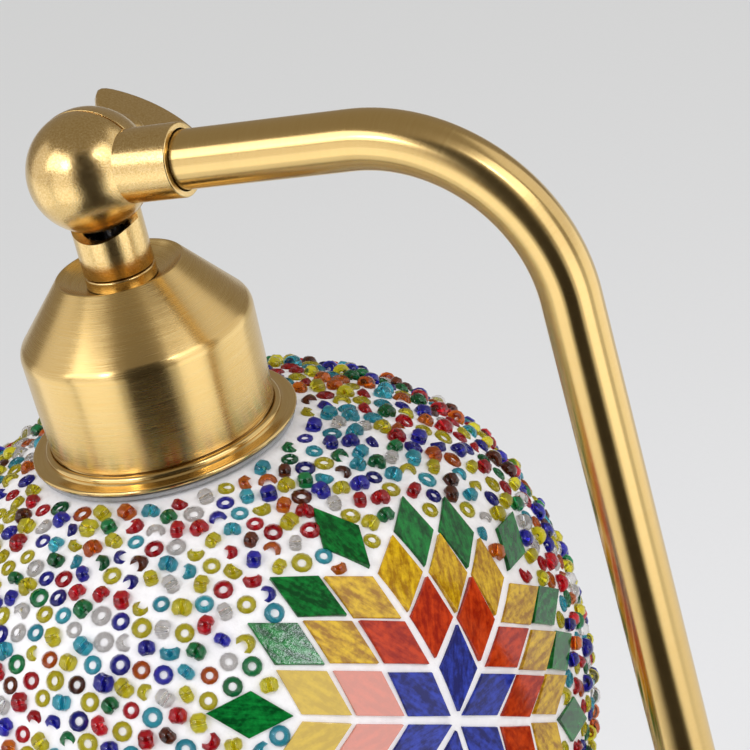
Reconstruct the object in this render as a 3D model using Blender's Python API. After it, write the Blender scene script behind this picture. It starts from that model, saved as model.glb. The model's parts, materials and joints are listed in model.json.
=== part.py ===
"""Mosaic glass table lamp: a swan-neck brass stand, a two-half tilting knuckle and a closed mosaic globe.

Blender units are metres. Sizes below are in millimetres and are turned into metres where meshes are made.
+Z is up, the stand's arm runs along +X from the knuckle to the upright, and the wing screw points to +Y.
"""

import math

import bmesh
import bpy
from mathutils import Matrix, Vector

MM = 0.001
GAP = 0.3  # clearance between two pieces that touch on the real lamp

ROUND = 30  # sides of a large turned piece
MEDIUM_ROUND = 24
SMALL_ROUND = 16
TINY_ROUND = 12
WELD = 2e-6  # corners nearer than this, in metres, are merged after a Boolean
CREASE = math.radians(32)  # an edge that turns by more than this stays crisp

# A rod is (radius, low end, high end) and a ring is (inner radius, outer radius, low end, high end).
# Cutters run out past the wall that they cut.

# Base, heights from the table
BASE_RADIUS = 80.0
BASE_TOP = 18.0
BASE_WALL = 1.2
BASE_EDGE = 5.0  # rounding of the shell's upper edge
SHELL_LOW = 2.6
PAD = (77.0, 0.0, 2.0)
PLATE = (BASE_RADIUS - BASE_WALL - GAP, 3.9, 5.2)
WEIGHT = (70.0, 5.5, BASE_TOP - BASE_WALL - 2 * GAP)
POCKET_RADIUS = 13.0  # room for a spanner round the leg's nut
POCKET_OPENING = 23  # half the angle over which the pocket opens into the lead's slot, in degrees
LEAD_SLOT = [(90, -5), (90, 5)]
POCKET_CUT = (0, 30)
SCREW_CIRCLE = 48.0
SCREW_ANGLES = (45, 135, 225, 315)
SCREW_OUTLINE = [(0, 2.3), (3.4, 2.3), (3.4, 3.6), (1.6, 3.6), (1.6, 10.5), (0, 10.5)]
PLATE_HOLE = (2.0, 3.0, 8.0)
WEIGHT_HOLE = (2.0, 3.0, 12.0)
INLET_HEIGHT = 9.4
INLET_HOLE = (4.3, 70.0, 90.0)
BUSHING_OUTLINE = [(2.8, 76.2), (3.9, 76.2), (3.9, 80.4), (5.4, 80.4), (5.4, 82.2), (2.8, 82.2)]

# Upright and arm
PIVOT_X = -45.5
PIVOT_Z = 384.0
REACH = 95.5  # pivot axis to the upright's axis
ARM_RISE = math.radians(1.0)
ARM_START = 14.6  # the tube's end inside the collar, from the pivot
TUBE_RADIUS = 6.0
TUBE_WALL = 1.0
BEND_RADIUS = 36.0
BEND_STEPS = 12
UPRIGHT_X = PIVOT_X + REACH
FOOT = BASE_TOP + GAP
LEG_HOLE = (5.3, 10.0, 24.0)
LEG_NIPPLE = (3.4, 4.7, 7.0, 40.0)
LEG_WASHER = (5.1, 10.0, 15.3, 16.5)
LEG_NUT = (14.0, 5.0, 9.6, 15.0)  # across flats, bore, low end, high end
ESCUTCHEON_BORE = TUBE_RADIUS + GAP
ESCUTCHEON_RADIUS = 13.0
ESCUTCHEON_LIP = 2.0
ESCUTCHEON_SHOULDER = (9.5, 2.2, 3.3)  # center radius, height over the foot, rounding
ESCUTCHEON_TOP = (8.2, 9.0)

# Knuckle, measured from the pivot
BALL_RADIUS = 12.5
BALL_WALL = 2.2
BALL_POLE = 78  # angle at which the outside's last ring lies, in degrees
HOLLOW_POLE = 72
BACK_SHIFT = 1.0  # the rear half ball's center lies this far behind the front one's
SEAM_Y = 1.3
FRONT_FACE = SEAM_Y - GAP / 2
BACK_FACE = SEAM_Y + GAP / 2
BEYOND = 20.0  # outside every surface of the ball
FAR = 30.0
SWEEP_RADIUS = 13.6  # room that each half leaves for the other to turn in
COLLAR = (7.5, 4.0, 22.0)
TUBE_SOCKET = (TUBE_RADIUS + GAP, 14.3, 30.0)
LEAD_WAY = (4.6, 7.0, 20.0)
FRONT_BOSS = (4.0, -11.2, SEAM_Y - 0.7)
TAPPED_HOLE = (2.1, -8.0, 5.0)
BACK_BOSS = (4.0, SEAM_Y + 0.7, 12.0)
SCREW_HOLE = (2.2, -2.0, 20.0)
HEAD_Y = 1.3  # the hanging stem's axis lies in the seam
STEM_RADIUS = 7.4
STEM_END = -21.85
STEM = (STEM_RADIUS, STEM_END, -4.0)
STEM_BORE = (5.25, -30.0, -8.5)
SEAT_Y = 12.8  # flat on the back of the ball, under the spring washer
SEAT_HALF = 9.0
FRICTION_WASHER = (2.1, 4.0, 0.9, 1.7)
SPRING_WASHER = (2.2, 4.2, 13.1, 13.8)
GRUB_X = 18.0
GRUB_SCREW = (1.2, 6.6, 8.0)
GRUB_HOLE = (1.5, 5.0, 10.0)
HEAD_TILT = math.radians(2.0)

# Wing screw
WING_TURN = math.radians(33.0)
WING_HUB = (4.4, 14.1, 18.6)
WING_SHANK = (1.8, -6.5, 15.0)
WING_SIDE = [(3.4, 16.0), (5.6, 19.0), (9.2, 22.0), (10.9, 24.2), (11.6, 26.6), (11.2, 28.1)]
WING_TOP_CENTER = (0, 7.95)
WING_TOP_RADIUS = 23.35
WING_TOP_ANGLES = (62, 118)
WING_HALF_THICKNESS = 1.25

# Lead, nipple, lock ring and cup, heights measured from the pivot down the head's axis
LEAD_ROUTE = [
    (1.9, -31.0), (1.9, -24.0), (1.9, -18.0), (2.2, -15.8), (3.0, -14.2), (3.8, -12.8),
    (4.2, -11.0), (4.3, -9.5),
]
LEAD_RADIUS = 2.0
STEM_NIPPLE = (3.6, 4.95, -34.0, -15.2)
NIPPLE_HOLE = 5.25  # bore of every piece that the nipple passes through
RING_CHAMFER = (0.5, 0.4)
CUP_FLOOR = -24.75
CUP_FLOOR_WALL = 1.0
CUP_WALL = 0.9
CUP_BORE = 5.3
CUP_DISH = [(9.6, CUP_FLOOR), (11.4, -24.0), (12.4, -22.6), (12.8, -22.07)]
CUP_RIM = [(13.3, -21.95), (13.9, -22.07), (14.4, -22.45)]
CUP_SHOULDER = (21.3, -36.0)  # center of the shoulder's rounding
CUP_SHOULDER_ROUND = 3.2
CUP_SLOPE = 46
CUP_FOOT = (23.8, -56.9)
CUP_UNDER_RIM = [(14.0, -23.85), (13.0, -25.3)]
CUP_UNDER_DISH = 11.0

# Lampholder and bulb, stacked under the cup
CUP_WASHER_RADIUS = 9.0
CUP_WASHER_HEIGHT = 0.8
CUP_NUT_ACROSS = 14.0
CUP_NUT_HEIGHT = 3.0
HOLDER_RADIUS = 14.0
DOME_HEIGHT = 12.0
DOME_FLAT = 8.0
DOME_ROUND = 6.0
DOME_INSIDE = [(12.8, -12.0), (12.8, -6.0), (11.5, -2.6), (7.6, -1.2), (NIPPLE_HOLE, -1.2)]
BODY_BORE = 12.4
BODY_HEIGHT = 34.0
INSERT_DROP = 2.0  # from the body's top down to the insert
INSERT = (3.2, 12.1, -7.0, 0.0)  # this one and the next three are measured from the insert's top
CONTACT = (2.9, -8.6, -1.0)
SLEEVE = (7.4, 7.9, -30.0, -7.3)
TIP = (2.4, -10.5, -8.9)
CAP = (6.2, 6.9, -30.8, -10.8)
BULB_OUTSIDE = [
    (6.6, 0), (7.6, -3), (11.5, -10), (15.8, -19), (17.5, -29), (16.6, -41), (13.0, -54), (7.4, -66),
    (2.2, -75), (0, -77),
]
BULB_INSIDE = [
    (0, -75.6), (1.6, -74), (6.6, -65), (12.2, -53.4), (15.8, -40.6), (16.7, -29), (15.0, -19.4), (10.7, -10.4),
    (6.8, -3.4), (5.6, 0),
]

# Neck and globe
NECK_TUBE = (21.6, 22.6)
NECK_TUBE_TOP = -52.0
NECK_TUBE_END = -70.6
FLANGE_BEAD_LOW = -57.25
FLANGE_BEAD = (24.2, -58.15)
FLANGE_BEAD_ROUND = 0.95
FLANGE_CHANNEL = [(25.6, -58.75), (26.9, -58.75), (27.6, -58.9)]
FLANGE_UNDER = -60.0
FLANGE_EDGE = [(28.2, -59.3), (28.2, -59.8), (27.9, FLANGE_UNDER)]
GASKET = (22.9, 27.4, -61.1, FLANGE_UNDER - GAP)
INNER_RING = (22.9, 26.2, -69.8, -68.0)
NECK_RADIUS = 23.4
GLOBE_TOP = -61.3
GLOBE_RADIUS = 75.4
GLOBE_UPPER = 68.2
GLOBE_LOWER = 73.0
GLOBE_POWER = 2.53  # the upper half is this much squarer than a ball, whose power is 2
MERIDIAN_STEPS = 7
COAT = 2.0
GLASS = 2.4


# ---------------------------------------------------------------- materials
def material(name, color, roughness, metallic=0.0, transmission=0.0):
    made = bpy.data.materials.new(name)
    made.use_nodes = True
    shader = made.node_tree.nodes["Principled BSDF"]
    shader.inputs["Base Color"].default_value = (*color, 1.0)
    shader.inputs["Roughness"].default_value = roughness
    shader.inputs["Metallic"].default_value = metallic
    shader.inputs["Transmission Weight"].default_value = transmission
    return made


def make_materials():
    brass = (0.62, 0.42, 0.17)
    return {
        "brass": material("satin_brass", brass, 0.32, 1.0),
        "cast_brass": material("cast_brass", brass, 0.4, 1.0),
        "steel": material("zinc_steel", (0.62, 0.62, 0.64), 0.3, 1.0),
        "iron": material("cast_iron", (0.08, 0.08, 0.085), 0.7, 0.6),
        "rubber": material("dark_rubber", (0.05, 0.05, 0.05), 0.75),
        "grey_rubber": material("grey_rubber", (0.35, 0.35, 0.35), 0.6),
        "ceramic": material("white_ceramic", (0.85, 0.84, 0.8), 0.35),
        "plastic": material("black_plastic", (0.03, 0.03, 0.03), 0.4),
        "grout": material("white_grout", (0.86, 0.84, 0.82), 0.7),
        "glass": material("clear_glass", (0.95, 0.95, 0.95), 0.05, 0.0, 1.0),
        "opal": material("opal_glass", (0.95, 0.94, 0.9), 0.3),
    }


# ---------------------------------------------------------------- shapes
def clear_scene():
    for obj in list(bpy.data.objects):
        bpy.data.objects.remove(obj, do_unlink=True)


def arc(center, radius, start, end, steps):
    """Points on a circle from one angle in degrees to another, both ends included."""
    points = []
    for step in range(steps + 1):
        angle = math.radians(start + (end - start) * step / steps)
        points.append((center[0] + radius * math.cos(angle), center[1] + radius * math.sin(angle)))
    return points


def finish_mesh(bm, name, mat):
    bmesh.ops.remove_doubles(bm, verts=bm.verts, dist=WELD / 20)
    bmesh.ops.recalc_face_normals(bm, faces=bm.faces)
    mesh = bpy.data.meshes.new(name)
    bm.to_mesh(mesh)
    bm.free()
    mesh.materials.append(mat)
    mesh.shade_smooth()
    mesh.set_sharp_from_angle(angle=CREASE)
    obj = bpy.data.objects.new(name, mesh)
    bpy.context.scene.collection.objects.link(obj)
    return obj


def turned(name, outline, mat, sides=SMALL_ROUND):
    """Spins a (radius, height) outline about Z. One that starts and ends on the axis stays open there."""
    bm = bmesh.new()
    verts = [bm.verts.new((r * MM, 0.0, z * MM)) for r, z in outline]
    edges = [bm.edges.new(pair) for pair in zip(verts, verts[1:])]
    if outline[0][0] > 0:
        edges.append(bm.edges.new((verts[-1], verts[0])))
    bmesh.ops.spin(
        bm, geom=verts + edges, axis=(0, 0, 1), cent=(0, 0, 0), angle=math.tau, steps=sides, use_merge=True
    )
    return finish_mesh(bm, name, mat)


def ring(name, inner, outer, low, high, mat, sides=SMALL_ROUND):
    return turned(name, [(inner, low), (outer, low), (outer, high), (inner, high)], mat, sides)


def rod(name, radius, low, high, mat, sides=SMALL_ROUND):
    return turned(name, [(0, low), (radius, low), (radius, high), (0, high)], mat, sides)


def plate(name, outline, low, high, mat):
    """Extrudes a closed (x, y) outline along Z."""
    bm = bmesh.new()
    face = bm.faces.new([bm.verts.new((x * MM, y * MM, low * MM)) for x, y in outline])
    raised = bmesh.ops.extrude_face_region(bm, geom=[face])
    top = [item for item in raised["geom"] if isinstance(item, bmesh.types.BMVert)]
    bmesh.ops.translate(bm, vec=(0, 0, (high - low) * MM), verts=top)
    return finish_mesh(bm, name, mat)


def hexagon(name, across, bore, low, high, mat):
    """A hexagonal nut with a round bore."""
    flats = arc((0, 0), across / math.sqrt(3), 0, 300, 5)
    nut = plate(name, flats, low, high, mat)
    combine(nut, "DIFFERENCE", rod("bore", bore, low - 1, high + 1, mat))
    return nut


def swept(name, path, outer, inner, mat, sides=SMALL_ROUND):
    """A round tube along a path of (x, z) points that lies in the XZ plane."""
    bm = bmesh.new()
    loops = []
    for index, (x, z) in enumerate(path):
        before = Vector(path[max(index - 1, 0)])
        after = Vector(path[min(index + 1, len(path) - 1)])
        along = (after - before).normalized()
        across = Vector((-along.y, 0.0, along.x))
        for radius in (outer, inner):
            loop = []
            for side in range(sides):
                angle = math.tau * side / sides
                offset = across * math.cos(angle) + Vector((0, 1, 0)) * math.sin(angle)
                loop.append(bm.verts.new((Vector((x, 0, z)) + offset * radius) * MM))
            loops.append(loop)
    outers, inners = loops[0::2], loops[1::2]
    pairs = list(zip(outers, outers[1:])) + list(zip(inners[1:], inners)) + [(inners[0], outers[0])]
    pairs.append((outers[-1], inners[-1]))
    for first, second in pairs:
        for side in range(sides):
            nxt = (side + 1) % sides
            bm.faces.new((first[side], first[nxt], second[nxt], second[side]))
    return finish_mesh(bm, name, mat)


def combine(obj, operation, tool):
    """Applies one Boolean and removes its tool."""
    modifier = obj.modifiers.new(operation.lower(), "BOOLEAN")
    modifier.operation = operation
    modifier.object = tool
    bpy.context.view_layer.update()
    evaluated = obj.evaluated_get(bpy.context.evaluated_depsgraph_get())
    result = bpy.data.meshes.new_from_object(evaluated)
    result.name = obj.data.name
    obj.modifiers.clear()
    obj.data = result
    bpy.data.objects.remove(tool, do_unlink=True)
    bm = bmesh.new()
    bm.from_mesh(result)
    bmesh.ops.remove_doubles(bm, verts=bm.verts, dist=WELD)
    bmesh.ops.dissolve_degenerate(bm, edges=bm.edges, dist=WELD / 2)
    bmesh.ops.triangulate(bm, faces=bm.faces)
    bm.to_mesh(result)
    bm.free()
    result.shade_smooth()
    result.set_sharp_from_angle(angle=CREASE)


def lowered(outline, top):
    """Moves an outline that is measured from its own top to the height where it belongs."""
    return [(radius, top + height) for radius, height in outline]


def reshape(obj, matrix):
    """Moves a mesh inside its object, so that the object's own origin can stay on an axis."""
    obj.data.transform(matrix)
    return obj


ALONG_X = Matrix.Rotation(math.pi / 2, 4, "Y")  # turns a piece made along Z to point along +X
ALONG_Y = Matrix.Rotation(-math.pi / 2, 4, "X")  # turns a piece made along Z to point along +Y


def shift(x=0.0, y=0.0, z=0.0):
    return Matrix.Translation(Vector((x, y, z)) * MM)


def frame_at(name, location, turn):
    """An empty that carries the pieces of one axis."""
    empty = bpy.data.objects.new(name, None)
    empty.location = Vector(location) * MM
    empty.rotation_euler = (0.0, turn, 0.0)
    bpy.context.scene.collection.objects.link(empty)
    return empty


def put(parent, *pieces):
    for piece in pieces:
        piece.parent = parent


# ---------------------------------------------------------------- base
def make_base_shell(mats):
    center = (BASE_RADIUS - BASE_EDGE, BASE_TOP - BASE_EDGE)
    outside = [(BASE_RADIUS, SHELL_LOW)] + arc(center, BASE_EDGE, 0, 90, 5) + [(0, BASE_TOP)]
    rounding = arc(center, BASE_EDGE - BASE_WALL, 90, 0, 5)
    inside = [(0, BASE_TOP - BASE_WALL)] + rounding + [(BASE_RADIUS - BASE_WALL, SHELL_LOW)]
    shell = turned("base_shell", inside + outside, mats["brass"], ROUND)
    combine(shell, "DIFFERENCE", reshape(rod("leg_hole", *LEG_HOLE, mats["brass"]), shift(UPRIGHT_X)))
    inlet = shift(z=INLET_HEIGHT) @ ALONG_X
    combine(shell, "DIFFERENCE", reshape(rod("inlet_hole", *INLET_HOLE, mats["brass"]), inlet))
    bushing = turned("cord_bushing", BUSHING_OUTLINE, mats["rubber"], SMALL_ROUND)
    bushing.matrix_world = inlet


def make_base_inside(mats):
    rod("base_pad", *PAD, mats["rubber"], ROUND)
    base_plate = rod("base_plate", *PLATE, mats["steel"], ROUND)
    weight = rod("base_weight", *WEIGHT, mats["iron"], ROUND)
    pocket = arc((UPRIGHT_X, 0), POCKET_RADIUS, POCKET_OPENING, 360 - POCKET_OPENING, 18) + LEAD_SLOT
    combine(weight, "DIFFERENCE", plate("nut_pocket", pocket, *POCKET_CUT, mats["iron"]))

    for number, degrees in enumerate(SCREW_ANGLES, 1):
        angle = math.radians(degrees)
        spot = shift(SCREW_CIRCLE * math.cos(angle), SCREW_CIRCLE * math.sin(angle))
        plate_hole = rod("hole", *PLATE_HOLE, mats["steel"], TINY_ROUND)
        combine(base_plate, "DIFFERENCE", reshape(plate_hole, spot))
        weight_hole = rod("hole", *WEIGHT_HOLE, mats["iron"], TINY_ROUND)
        combine(weight, "DIFFERENCE", reshape(weight_hole, spot))
        screw = turned(f"plate_screw_{number}", SCREW_OUTLINE, mats["steel"], TINY_ROUND)
        screw.matrix_world = spot


# ---------------------------------------------------------------- upright and arm
def arm_path():
    """(x, z) points from the arm's end in the collar, over the bend and down to the base."""
    along = Vector((math.cos(ARM_RISE), math.sin(ARM_RISE)))
    center_x = REACH - BEND_RADIUS
    center_z = (math.sin(ARM_RISE) * center_x - BEND_RADIUS) / math.cos(ARM_RISE)
    bend = arc((center_x, center_z), BEND_RADIUS, 90 + math.degrees(ARM_RISE), 0, BEND_STEPS)
    start = along * ARM_START
    local = [(start.x, start.y)] + bend + [(REACH, FOOT - PIVOT_Z)]
    return [(PIVOT_X + x, PIVOT_Z + z) for x, z in local]


def make_upright(mats):
    swept("arm_tube", arm_path(), TUBE_RADIUS, TUBE_RADIUS - TUBE_WALL, mats["brass"])
    round_r, round_z, rounding = ESCUTCHEON_SHOULDER
    neck_r, neck_z = ESCUTCHEON_TOP
    profile = [(ESCUTCHEON_BORE, 0), (ESCUTCHEON_RADIUS, 0), (ESCUTCHEON_RADIUS, ESCUTCHEON_LIP)]
    profile += arc((round_r, round_z), rounding, 0, 70, 3)[1:]
    profile += [(neck_r, neck_z), (ESCUTCHEON_BORE, neck_z)]
    escutcheon = turned("leg_escutcheon", lowered(profile, FOOT), mats["brass"], MEDIUM_ROUND)
    nipple = ring("leg_nipple", *LEG_NIPPLE, mats["steel"])
    washer = ring("leg_washer", *LEG_WASHER, mats["steel"])
    nut = hexagon("leg_nut", *LEG_NUT, mats["steel"])
    for piece in (escutcheon, nipple, washer, nut):
        piece.location.x = UPRIGHT_X * MM


# ---------------------------------------------------------------- knuckle
def round_outline(radius, pole, steps):
    """Half a circle from pole to pole, with a flat facet at each end."""
    return [(0, -radius)] + arc((0, 0), radius, -pole, pole, steps) + [(0, radius)]


def half_ball(name, center_y, cut_from, cut_to, mat):
    """A ball cut away between two Y planes, and the core that hollows it out later."""
    ball = turned(name, round_outline(BALL_RADIUS, BALL_POLE, 12), mat, MEDIUM_ROUND)
    hollow = turned("hollow", round_outline(BALL_RADIUS - BALL_WALL, HOLLOW_POLE, 6), mat, MEDIUM_ROUND)
    for piece in (ball, hollow):
        reshape(piece, shift(y=center_y) @ ALONG_Y)
    outline = [(-BEYOND, cut_from), (BEYOND, cut_from), (BEYOND, cut_to), (-BEYOND, cut_to)]
    combine(ball, "DIFFERENCE", plate("block", outline, -BEYOND, BEYOND, mat))
    return ball, hollow


def make_front_half(cast, arm_frame):
    front, hollow = half_ball("knuckle_front", 0.0, FRONT_FACE, FAR, cast)
    combine(front, "UNION", reshape(rod("collar", *COLLAR, cast, MEDIUM_ROUND), ALONG_X))
    combine(front, "DIFFERENCE", hollow)
    combine(front, "UNION", reshape(rod("boss", *FRONT_BOSS, cast), ALONG_Y))
    combine(front, "DIFFERENCE", reshape(rod("tapped_hole", *TAPPED_HOLE, cast), ALONG_Y))
    combine(front, "DIFFERENCE", reshape(rod("tube_socket", *TUBE_SOCKET, cast, MEDIUM_ROUND), ALONG_X))
    combine(front, "DIFFERENCE", reshape(rod("lead_way", *LEAD_WAY, cast, MEDIUM_ROUND), ALONG_X))
    sweep = reshape(rod("sweep", SWEEP_RADIUS, FRONT_FACE, BEYOND, cast, 2 * SMALL_ROUND), ALONG_Y)
    combine(front, "DIFFERENCE", sweep)
    grub_hole = reshape(rod("grub_hole", *GRUB_HOLE, cast, TINY_ROUND), shift(x=GRUB_X) @ ALONG_Y)
    combine(front, "DIFFERENCE", grub_hole)
    put(arm_frame, front)


def make_back_half(cast, head_frame):
    back, hollow = half_ball("knuckle_back", BACK_SHIFT, -FAR, BACK_FACE, cast)
    combine(back, "UNION", reshape(rod("stem", *STEM, cast, MEDIUM_ROUND), shift(y=HEAD_Y)))
    combine(back, "DIFFERENCE", hollow)
    combine(back, "UNION", reshape(rod("boss", *BACK_BOSS, cast), ALONG_Y))
    combine(back, "DIFFERENCE", reshape(rod("screw_hole", *SCREW_HOLE, cast), ALONG_Y))
    combine(back, "DIFFERENCE", reshape(rod("bore", *STEM_BORE, cast, MEDIUM_ROUND), shift(y=HEAD_Y)))
    sweep = reshape(rod("sweep", SWEEP_RADIUS, -BEYOND, BACK_FACE, cast, 2 * SMALL_ROUND), ALONG_Y)
    combine(back, "DIFFERENCE", sweep)
    seat = [(-SEAT_HALF, SEAT_Y), (SEAT_HALF, SEAT_Y), (SEAT_HALF, BEYOND), (-SEAT_HALF, BEYOND)]
    combine(back, "DIFFERENCE", plate("seat", seat, -SEAT_HALF, SEAT_HALF, cast))
    put(head_frame, back)


def make_fasteners(mats, arm_frame, wing_frame):
    cast = mats["cast_brass"]
    washer = reshape(ring("friction_washer", *FRICTION_WASHER, mats["plastic"]), ALONG_Y)
    spring = reshape(ring("spring_washer", *SPRING_WASHER, mats["steel"]), ALONG_Y)
    grub = rod("arm_grub_screw", *GRUB_SCREW, mats["steel"], TINY_ROUND)
    reshape(grub, shift(x=GRUB_X) @ ALONG_Y)

    wing = reshape(rod("wing_screw", *WING_HUB, cast), ALONG_Y)
    top = arc(WING_TOP_CENTER, WING_TOP_RADIUS, *WING_TOP_ANGLES, 8)
    blade = WING_SIDE + top + [(-x, y) for x, y in WING_SIDE[::-1]]
    combine(wing, "UNION", plate("blade", blade, -WING_HALF_THICKNESS, WING_HALF_THICKNESS, cast))
    combine(wing, "UNION", reshape(rod("shank", *WING_SHANK, cast), ALONG_Y))
    put(arm_frame, grub, washer)
    put(wing_frame, wing, spring)


# ---------------------------------------------------------------- head: cup, lampholder and bulb
def hang(head_frame, *pieces):
    """Moves turned pieces onto the hanging stem's axis and fixes them to the head."""
    for piece in pieces:
        reshape(piece, shift(y=HEAD_Y))
    put(head_frame, *pieces)


def make_lead(mat, head_frame):
    """The lead's inside stretch, from the lampholder up the nipple and behind the front half ball."""
    curve = bpy.data.curves.new("lead_tail", "CURVE")
    curve.dimensions = "3D"
    spline = curve.splines.new("POLY")
    spline.points.add(len(LEAD_ROUTE) - 1)
    for point, (y, z) in zip(spline.points, LEAD_ROUTE):
        point.co = (0.0, y * MM, z * MM, 1.0)
    curve.bevel_depth = LEAD_RADIUS * MM
    curve.bevel_resolution = 2
    curve.use_fill_caps = True
    curve.materials.append(mat)
    lead = bpy.data.objects.new("lead_tail", curve)
    bpy.context.scene.collection.objects.link(lead)
    put(head_frame, lead)


def make_cup(mats, head_frame):
    stem_nipple = ring("stem_nipple", *STEM_NIPPLE, mats["steel"], MEDIUM_ROUND)
    ring_top = STEM_END - GAP
    ring_low = CUP_FLOOR + GAP
    inset, drop = RING_CHAMFER
    profile = [(STEM_RADIUS - inset, ring_top), (STEM_RADIUS, ring_top - drop), (STEM_RADIUS, ring_low)]
    profile += [(NIPPLE_HOLE, ring_low), (NIPPLE_HOLE, ring_top)]
    lock_ring = turned("lock_ring", profile, mats["cast_brass"], MEDIUM_ROUND)

    foot_r, foot_z = CUP_FOOT
    under = CUP_FLOOR - CUP_FLOOR_WALL
    outside = [(CUP_BORE, CUP_FLOOR)] + CUP_DISH + CUP_RIM
    outside += arc(CUP_SHOULDER, CUP_SHOULDER_ROUND, CUP_SLOPE, 0, 4) + [CUP_FOOT]
    inside = [(foot_r - CUP_WALL, foot_z)] + arc(CUP_SHOULDER, CUP_SHOULDER_ROUND - CUP_WALL, 0, CUP_SLOPE, 3)
    inside += CUP_UNDER_RIM + [(CUP_UNDER_DISH, under), (CUP_BORE, under)]
    cup = turned("cup", outside + inside, mats["brass"], ROUND)
    hang(head_frame, stem_nipple, lock_ring, cup)


def make_lampholder(mats, head_frame):
    washer_top = CUP_FLOOR - CUP_FLOOR_WALL - GAP
    washer_low = washer_top - CUP_WASHER_HEIGHT
    washer = ring("cup_washer", NIPPLE_HOLE, CUP_WASHER_RADIUS, washer_low, washer_top, mats["steel"])
    nut_top = washer_low - GAP
    nut_low = nut_top - CUP_NUT_HEIGHT
    nut = hexagon("cup_nut", CUP_NUT_ACROSS, NIPPLE_HOLE, nut_low, nut_top, mats["steel"])

    dome_top = nut_low - GAP
    outline = [(NIPPLE_HOLE, 0), (DOME_FLAT, 0)] + arc((DOME_FLAT, -DOME_ROUND), DOME_ROUND, 70, 0, 3)
    outline += [(HOLDER_RADIUS, -DOME_HEIGHT)] + DOME_INSIDE
    dome = turned("holder_dome", lowered(outline, dome_top), mats["plastic"], MEDIUM_ROUND)
    body_top = dome_top - DOME_HEIGHT - GAP
    body_low = body_top - BODY_HEIGHT
    body = ring("holder_body", BODY_BORE, HOLDER_RADIUS, body_low, body_top, mats["plastic"], MEDIUM_ROUND)

    insert = ring("holder_insert", *INSERT, mats["ceramic"], MEDIUM_ROUND)
    contact = rod("centre_contact", *CONTACT, mats["brass"], TINY_ROUND)
    sleeve = ring("thread_sleeve", *SLEEVE, mats["brass"], MEDIUM_ROUND)
    tip = rod("bulb_tip", *TIP, mats["steel"], TINY_ROUND)
    cap = ring("bulb_cap", *CAP, mats["steel"], MEDIUM_ROUND)
    insert_top = body_top - INSERT_DROP
    for piece in (insert, contact, sleeve, tip, cap):
        reshape(piece, shift(z=insert_top))

    cap_low = CAP[2]
    neck = insert_top + cap_low - GAP
    outline = BULB_OUTSIDE[::-1] + BULB_INSIDE[::-1]
    bulb = turned("bulb_glass", lowered(outline, neck), mats["opal"], MEDIUM_ROUND)
    hang(head_frame, washer, nut, dome, body, insert, contact, sleeve, tip, cap, bulb)


# ---------------------------------------------------------------- globe
def globe_outline(inset):
    """(radius, height) points of the globe's meridian, set in by inset, from the neck's edge to the bottom."""
    power = 2 / GLOBE_POWER
    neck_angle = math.asin((NECK_RADIUS / GLOBE_RADIUS) ** (1 / power))
    middle = GLOBE_TOP - GLOBE_UPPER * math.cos(neck_angle) ** power
    radius = GLOBE_RADIUS - inset
    first = math.asin((NECK_RADIUS / radius) ** (1 / power))
    points = []
    for step in range(MERIDIAN_STEPS + 1):
        angle = first + (math.pi / 2 - first) * step / MERIDIAN_STEPS
        height = middle + (GLOBE_UPPER - inset) * max(0.0, math.cos(angle)) ** power
        points.append((radius * math.sin(angle) ** power, height))
    for step in range(1, MERIDIAN_STEPS):
        angle = math.pi / 2 * step / MERIDIAN_STEPS
        points.append((radius * math.cos(angle), middle - (GLOBE_LOWER - inset) * math.sin(angle)))
    points.append((0.0, middle - (GLOBE_LOWER - inset)))
    return points


def make_neck(mats, head_frame):
    tube_in, tube_out = NECK_TUBE
    profile = [(tube_out, NECK_TUBE_TOP), (tube_out, FLANGE_BEAD_LOW)]
    profile += arc(FLANGE_BEAD, FLANGE_BEAD_ROUND, 150, 0, 4) + FLANGE_CHANNEL + FLANGE_EDGE
    profile += [(tube_out, FLANGE_UNDER), (tube_out, NECK_TUBE_END)]
    profile += [(tube_in, NECK_TUBE_END), (tube_in, NECK_TUBE_TOP)]
    collar = turned("globe_collar", profile, mats["brass"], ROUND)
    gasket = ring("neck_gasket", *GASKET, mats["grey_rubber"], ROUND)
    inner_ring = ring("neck_ring", *INNER_RING, mats["brass"], ROUND)
    hang(head_frame, collar, gasket, inner_ring)


def make_globe(mats, head_frame):
    outline = globe_outline(0.0)[::-1] + globe_outline(COAT)
    coat = turned("mosaic_coat", outline, mats["grout"], ROUND)
    outline = globe_outline(COAT + GAP)[::-1] + globe_outline(COAT + GAP + GLASS)
    glass = turned("glass_globe", outline, mats["glass"], ROUND)
    hang(head_frame, coat, glass)


def main():
    clear_scene()
    mats = make_materials()
    pivot = (PIVOT_X, 0, PIVOT_Z)
    arm_frame = frame_at("arm_frame", pivot, -ARM_RISE)
    head_frame = frame_at("head_frame", pivot, HEAD_TILT)
    wing_frame = frame_at("wing_frame", pivot, WING_TURN)
    make_base_shell(mats)
    make_base_inside(mats)
    make_upright(mats)
    make_front_half(mats["cast_brass"], arm_frame)
    make_back_half(mats["cast_brass"], head_frame)
    make_fasteners(mats, arm_frame, wing_frame)
    make_lead(mats["plastic"], head_frame)
    make_cup(mats, head_frame)
    make_lampholder(mats, head_frame)
    make_neck(mats, head_frame)
    make_globe(mats, head_frame)


main()
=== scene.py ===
# %% [markdown]
# # A mosaic glass table lamp
# A brass swan-neck stand carries a closed globe. The globe is covered in white grout with seed beads and
# stars of cut stained glass pressed into it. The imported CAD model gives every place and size. This lesson
# builds the smooth, finished pieces over it.

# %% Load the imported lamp
import json
import math
import random

import bpy
import numpy as np
from mathutils import Matrix, Vector
from mathutils.kdtree import KDTree


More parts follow.
